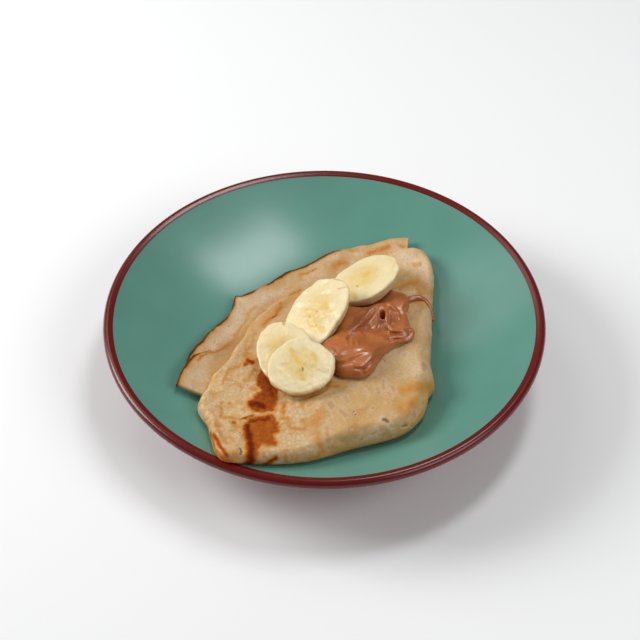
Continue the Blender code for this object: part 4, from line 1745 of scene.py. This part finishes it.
@dataclass
class Spread:
    """The heap of hazelnut spread, with its folds, air hole and thread.

    The swells and wrinkles are placed in plan and the folds by the photo's pixels. The relief is a
    height and the size of its swellings.
    """

    outline: Route = (
        (0.0045, -0.0400), (0.0080, -0.0440), (0.0140, -0.0455), (0.0190, -0.0452), (0.0228, -0.0425),
        (0.0252, -0.0385), (0.0278, -0.0319), (0.0315, -0.0265), (0.0373, -0.0208), (0.0425, -0.0170),
        (0.0447, -0.0125), (0.0445, -0.0050), (0.0437, 0.0005), (0.0432, 0.0060), (0.0450, 0.0105),
        (0.0445, 0.0165), (0.0400, 0.0200), (0.0350, 0.0225), (0.0290, 0.0205), (0.0165, 0.0135),
        (0.0070, 0.0055), (0.0020, -0.0040), (-0.0015, -0.0145), (-0.0025, -0.0235), (0.0000, -0.0325),
    )
    middle: tuple[float, float] = (0.0230, -0.0130)
    height: float = 6.2 * MM
    edge: float = 5.0 * MM
    waist: float = 0.2
    swells: tuple[Swell, ...] = (
        Swell((0.0090, -0.0270), (0.0070, 0.0070), 0.0018),
        Swell((0.0216, -0.0330), (0.0060, 0.0060), 0.0015),
        Swell((0.0400, 0.0100), (0.0060, 0.0060), 0.0015),
        Swell((0.0290, 0.0035), (0.0035, 0.0030), 0.0022),
        Swell((0.0280, -0.0105), (0.0060, 0.0055), -0.0026),
        Swell((0.0150, -0.0360), (0.0100, 0.0070), 0.0012),
        Swell((0.0380, -0.0040), (0.0030, 0.0040), -0.0010),
    )
    wrinkles: tuple[Wrinkle, ...] = (
        Wrinkle(
            ((0.0279, 0.0022), (0.0232, -0.0049), (0.0181, -0.0112), (0.0134, -0.0160)),
            2.4 * MM, 2.8 * MM, 0.4,
        ),
        Wrinkle(((0.0326, -0.0150), (0.0383, -0.0167), (0.0430, -0.0158)), 0.9 * MM, -1.6 * MM),
        Wrinkle(
            ((0.0222, -0.0058), (0.0238, -0.0117), (0.0284, -0.0160), (0.0357, -0.0175)),
            1.6 * MM, -0.9 * MM,
        ),
        Wrinkle(((0.0326, 0.0080), (0.0362, 0.0029), (0.0403, -0.0039)), 1.1 * MM, 0.6 * MM),
    )
    folds: tuple[Wrinkle, ...] = (
        Wrinkle(
            ((379, 307), (375, 310.5), (371, 317), (366, 323.5), (360, 328), (353, 333)),
            1.7, -1.79 * MM,
        ),
        Wrinkle(((356, 331), (350, 334.5), (348, 338), (350, 340.5)), 1.6, -1.31 * MM),
        Wrinkle(
            ((377, 304.5), (371, 310), (366.5, 316), (361, 321.5), (353, 327.5), (347, 333)),
            2.5, 0.95 * MM,
        ),
        Wrinkle(
            ((379.5, 308), (378.3, 313), (379, 318), (382, 321), (386, 318.5), (387.4, 313), (385, 307.5)),
            1.3, 0.6 * MM,
        ),
        Wrinkle(((389.3, 310), (389.8, 315), (388.6, 321), (388.3, 327), (390, 330.5)), 1.4, -0.95 * MM),
        Wrinkle(((386.5, 302.5), (391, 306.5), (396.5, 311)), 1.6, 0.71 * MM),
        Wrinkle(((387, 306), (391, 310), (396, 314)), 1.6, -0.48 * MM),
        Wrinkle(((392, 313.5), (396, 316), (400, 319.5)), 1.7, 0.6 * MM),
        Wrinkle(((399, 309), (402, 314), (401, 319)), 1.7, -0.6 * MM),
        Wrinkle(((367, 322), (368, 328), (372, 333), (380, 336), (387, 338)), 1.7, 0.6 * MM),
        Wrinkle(((376, 326), (382, 329.5)), 5.5, -0.84 * MM),
        Wrinkle(((365, 325.5), (363, 331), (367, 335.5)), 1.3, -0.95 * MM),
        Wrinkle(((388, 329), (393, 331), (400, 330.6), (408, 328.5)), 1.6, 0.6 * MM),
        Wrinkle(((389, 333), (396, 333.2), (403, 331.6)), 1.1, -0.6 * MM),
        Wrinkle(((386, 338), (395, 338.8), (401, 338), (407, 338)), 1.3, -1.55 * MM),
        Wrinkle(((392, 341.5), (399, 341.3), (405, 340.5)), 1.4, 0.48 * MM),
        Wrinkle(((346.5, 340), (347, 345)), 1.1, 0.48 * MM),
        Wrinkle(((352.5, 341), (352.5, 345.5)), 1.1, 0.48 * MM),
        Wrinkle(((357.5, 340), (358.5, 346)), 1.2, 0.48 * MM),
        Wrinkle(
            ((335, 355.5), (345, 354), (355, 351.5), (365, 348.5), (377, 345), (390, 340.5)),
            2.2, -0.84 * MM,
        ),
        Wrinkle(
            ((333, 357), (338, 361), (345, 360), (353, 356.5), (361, 353.5), (370, 351)),
            1.8, 0.95 * MM,
        ),
        Wrinkle(((337, 365), (346, 363), (355, 360)), 2.6, -0.6 * MM),
        Wrinkle(((351, 363), (356, 366.3), (361, 366), (364.5, 366.5)), 1.2, 0.71 * MM),
        Wrinkle(((354, 368.8), (361, 368.8), (365, 368)), 1.2, -0.84 * MM),
        Wrinkle(
            ((379, 355.5), (374, 359.5), (369, 363.5), (365, 367.5), (362.5, 371), (363, 374.5)),
            1.3, -1.2 * MM,
        ),
        Wrinkle(((381, 358), (375, 362), (370, 366), (366.5, 371), (367, 375)), 1.7, 0.71 * MM),
        Wrinkle(((331, 348), (334.5, 352), (335, 356.5)), 1.2, 0.48 * MM),
        Wrinkle(((368, 310), (360, 313), (353, 316)), 1.9, 0.36 * MM),
        Wrinkle(((354, 316), (352.5, 322), (351, 327)), 1.8, -0.41 * MM),
        Wrinkle(((391, 320), (392, 325)), 3.1, 0.48 * MM),
    )
    ribbons: tuple[Ribbon, ...] = (
        Ribbon(
            (
                (0.0285, 0.0035, 7.2, 0.6), (0.0308, 0.0030, 8.0, 0.8), (0.0325, -0.0010, 8.2, 0.9),
                (0.0325, -0.0077, 7.6, 1.0), (0.0330, -0.0117, 6.9, 1.1), (0.0368, -0.0141, 6.0, 1.2),
                (0.0428, -0.0112, 4.8, 1.5), (0.0452, -0.0118, 3.8, 1.5), (0.0450, -0.0138, 2.9, 1.5),
                (0.0434, -0.0160, 2.3, 1.5), (0.0396, -0.0180, 2.4, 1.3),
            )
        ),
        Ribbon(
            (
                (0.0400, 0.0130, 2.2, 1.8), (0.0440, 0.0160, 1.8, 1.8), (0.0485, 0.0178, 1.4, 1.7),
                (0.0527, 0.0174, 1.2, 1.6), (0.0557, 0.0152, 0.9, 1.5), (0.0573, 0.0120, 0.4, 1.4),
                (0.0577, 0.0085, -0.5, 1.2),
            )
        ),
    )
    hole: tuple[float, float] = (0.0305, -0.0017)
    hole_size: tuple[float, float] = (1.5 * MM, 2.0 * MM)
    hole_depth: float = 6.0 * MM
    relief: tuple[float, float] = (0.25 * MM, 6 * MM)
    mound: Mound = Mound(340, 96, 16, 14)
    outline_steps: int = 240
    strand_steps: int = 28
    strand_sink: float = 0.3
    voxel: float = 0.34 * MM
    finish: SpreadFinish = field(default_factory=SpreadFinish)
    noise: Noise = field(default_factory=lambda: Noise(3))

    def ground(self, x: Points, y: Points) -> Points:
        """Height of the packet under points in plan, with its rounded side."""
        form = PACKET
        line = smooth_line(form.outline, self.outline_steps, True)
        inside = nearest(np.stack([x, y], axis=1), np.concatenate([line, line[:1]]))
        full = form.thickness(x, y)
        width = form.upper_round * full
        drop = np.clip(1 - inside.distance / width, 0, 1)
        waist = form.waist * full
        round_down = waist + (full - waist) * np.sqrt(np.clip(1 - drop**2, 0, 1))
        return PLATE.height(x, y) + GAP + round_down

    def rise(self, place: Points) -> Points:
        """Height of the heap over the packet, away from its edge.

        Args:
            place: Places in plan, as rows of two.

        Returns:
            One height a place.
        """
        x, y = place.T
        relief = sum(swell.at(x, y) for swell in self.swells)
        relief = relief + sum(wrinkle.at(place) for wrinkle in self.wrinkles)
        away = ((x - self.hole[0]) / self.hole_size[0]) ** 2 + ((y - self.hole[1]) / self.hole_size[1]) ** 2
        relief = relief - self.hole_depth * np.exp(-(away**2))
        relief = relief + self.relief[0] * self.noise(np.column_stack([place, 0 * x]), self.relief[1], 2)
        return self.height + relief

    def heap_body(self) -> MoundBody:
        """The heap's sizes, as a mound on the packet."""
        return MoundBody(
            middle=self.middle,
            upper=lambda place: self.edge,
            lower=lambda place: self.edge / 3,
            waist=lambda place: self.waist * self.height,
            base=lambda place: PACKET.top(*place.T) + GAP,
            rise=self.rise,
        )

    def strand(self, ribbon: Ribbon) -> bpy.types.Mesh:
        """A round tube along a ribbon's route."""
        route = smooth_line(ribbon.points, self.strand_steps)
        curve = bpy.data.curves.new("strand", "CURVE")
        curve.dimensions = "3D"
        curve.bevel_depth = 1.0
        curve.bevel_resolution = 4
        curve.use_fill_caps = True
        spline = curve.splines.new("POLY")
        spline.points.add(len(route) - 1)
        base = self.ground(route[:, 0], route[:, 1])
        for point, (x, y, lift, radius), level in zip(spline.points, route, base):
            point.co = (x, y, level + (lift - radius * self.strand_sink) * MM, 1.0)
            point.radius = radius * MM
        guide = bpy.data.objects.new("strand", curve)
        bpy.context.scene.collection.objects.link(guide)
        graph = bpy.context.evaluated_depsgraph_get()
        made = bpy.data.meshes.new_from_object(guide.evaluated_get(graph))
        bpy.data.objects.remove(guide)
        return made

    def build(self) -> Mesh:
        """Builds the heap and its strands, and melts them into one."""
        mound = self.mound
        heap, column, ring = sphere("chocolate_heap", mound.columns, mound.rings)
        heap.points = mound.shape(self.outline, column, ring, self.heap_body())
        shape = bmesh.new()
        shape.from_mesh(heap.data)
        for ribbon in self.ribbons:
            strand = self.strand(ribbon)
            shape.from_mesh(strand)
            bpy.data.meshes.remove(strand)
        bmesh.ops.remove_doubles(shape, verts=shape.verts, dist=WELD)
        bpy.data.objects.remove(heap.object)
        made = Mesh("chocolate_spread_heap", shape)
        remesh = made.object.modifiers.new("melt", "REMESH")
        remesh.mode = "VOXEL"
        remesh.voxel_size = self.voxel
        graph = bpy.context.evaluated_depsgraph_get()
        melted = bpy.data.meshes.new_from_object(made.object.evaluated_get(graph))
        made.object.modifiers.clear()
        made.object.data = melted
        made.data = melted
        melted.name = "chocolate_spread_heap"
        self.soften(melted, 2)
        pixels = PHOTO.pixels(made.points)
        seen = PHOTO.facing(made.points, made.normals)
        points = made.points + made.normals * (seen * sum(fold.at(pixels) for fold in self.folds))[:, None]
        for form in SLICES:
            points = form.press(points)
        made.points = points
        self.soften(made.data, 1)
        return made.finish(self.finish.material(), "chocolate_spread", "spread")

    def soften(self, mesh: bpy.types.Mesh, rounds: int) -> None:
        """Smooths a mesh.

        Args:
            mesh: The mesh.
            rounds: How many times.
        """
        shape = bmesh.new()
        shape.from_mesh(mesh)
        for _ in range(rounds):
            bmesh.ops.smooth_vert(
                shape, verts=shape.verts, factor=0.5, use_axis_x=True, use_axis_y=True, use_axis_z=True
            )
        shape.to_mesh(mesh)
        shape.free()


@dataclass(frozen=True)
class SoftBox:
    """A rectangular soft light: its place, its size, its power in watts and its colour."""

    name: str
    place: tuple[float, float, float]
    size: tuple[float, float]
    power: float
    colour: tuple[float, float, float] = (1.0, 1.0, 1.0)

    def build(self, aim: Vector) -> None:
        """Makes the light, turned to a point."""
        lamp = bpy.data.lights.new(self.name, "AREA")
        lamp.shape = "RECTANGLE"
        lamp.size, lamp.size_y = self.size
        lamp.energy = self.power
        lamp.color = self.colour
        obj = bpy.data.objects.new(self.name, lamp)
        bpy.context.scene.collection.objects.link(obj)
        obj.location = self.place
        obj.rotation_euler = (aim - Vector(self.place)).to_track_quat("-Z", "Y").to_euler()


@dataclass
class Studio:
    """The pale floor, soft light and camera."""

    lights: tuple[SoftBox, ...] = (
        SoftBox("overhead", (0.245, 0.315, 1.0), (0.18, 0.40), 3.1, (0.96, 0.98, 1.0)),
        SoftBox("left", (-1.05, 0.25, 0.65), (0.6, 0.6), 12.0),
        SoftBox("back_left", (-0.55, 0.78, 1.0), (0.5, 0.55), 1.7),
        SoftBox("right", (0.8, -0.5, 0.8), (0.8, 0.6), 4.9),
    )
    ambient: float = 0.12
    aim: tuple[float, float, float] = (0.0, 0.0, 0.03)
    floor_size: float = 6.0
    floor: FloorFinish = FloorFinish()

    def build(self) -> None:
        """Makes the floor, lights, surroundings and camera."""
        shape = bmesh.new()
        bmesh.ops.create_grid(shape, x_segments=1, y_segments=1, size=self.floor_size / 2)
        ground = Mesh("floor", shape)
        ground.data.materials.append(self.floor.material())
        for light in self.lights:
            light.build(Vector(self.aim))
        world = bpy.data.worlds.new("surroundings")
        bpy.context.scene.world = world
        world.use_nodes = True
        background = world.node_tree.nodes["Background"]
        background.inputs["Color"].default_value = (1.0, 1.0, 1.0, 1.0)
        background.inputs["Strength"].default_value = self.ambient
        bpy.context.scene.view_settings.view_transform = "Standard"
        PHOTO.place_camera()


def main() -> None:
    """Builds every piece around the frame."""
    logging.basicConfig(level=logging.INFO, format="%(name)s: %(message)s")
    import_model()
    Studio().build()
    Plate().build()
    Crepe().build()
    BananaSlices().build()
    Spread().build()


if __name__ == "__main__":
    main()
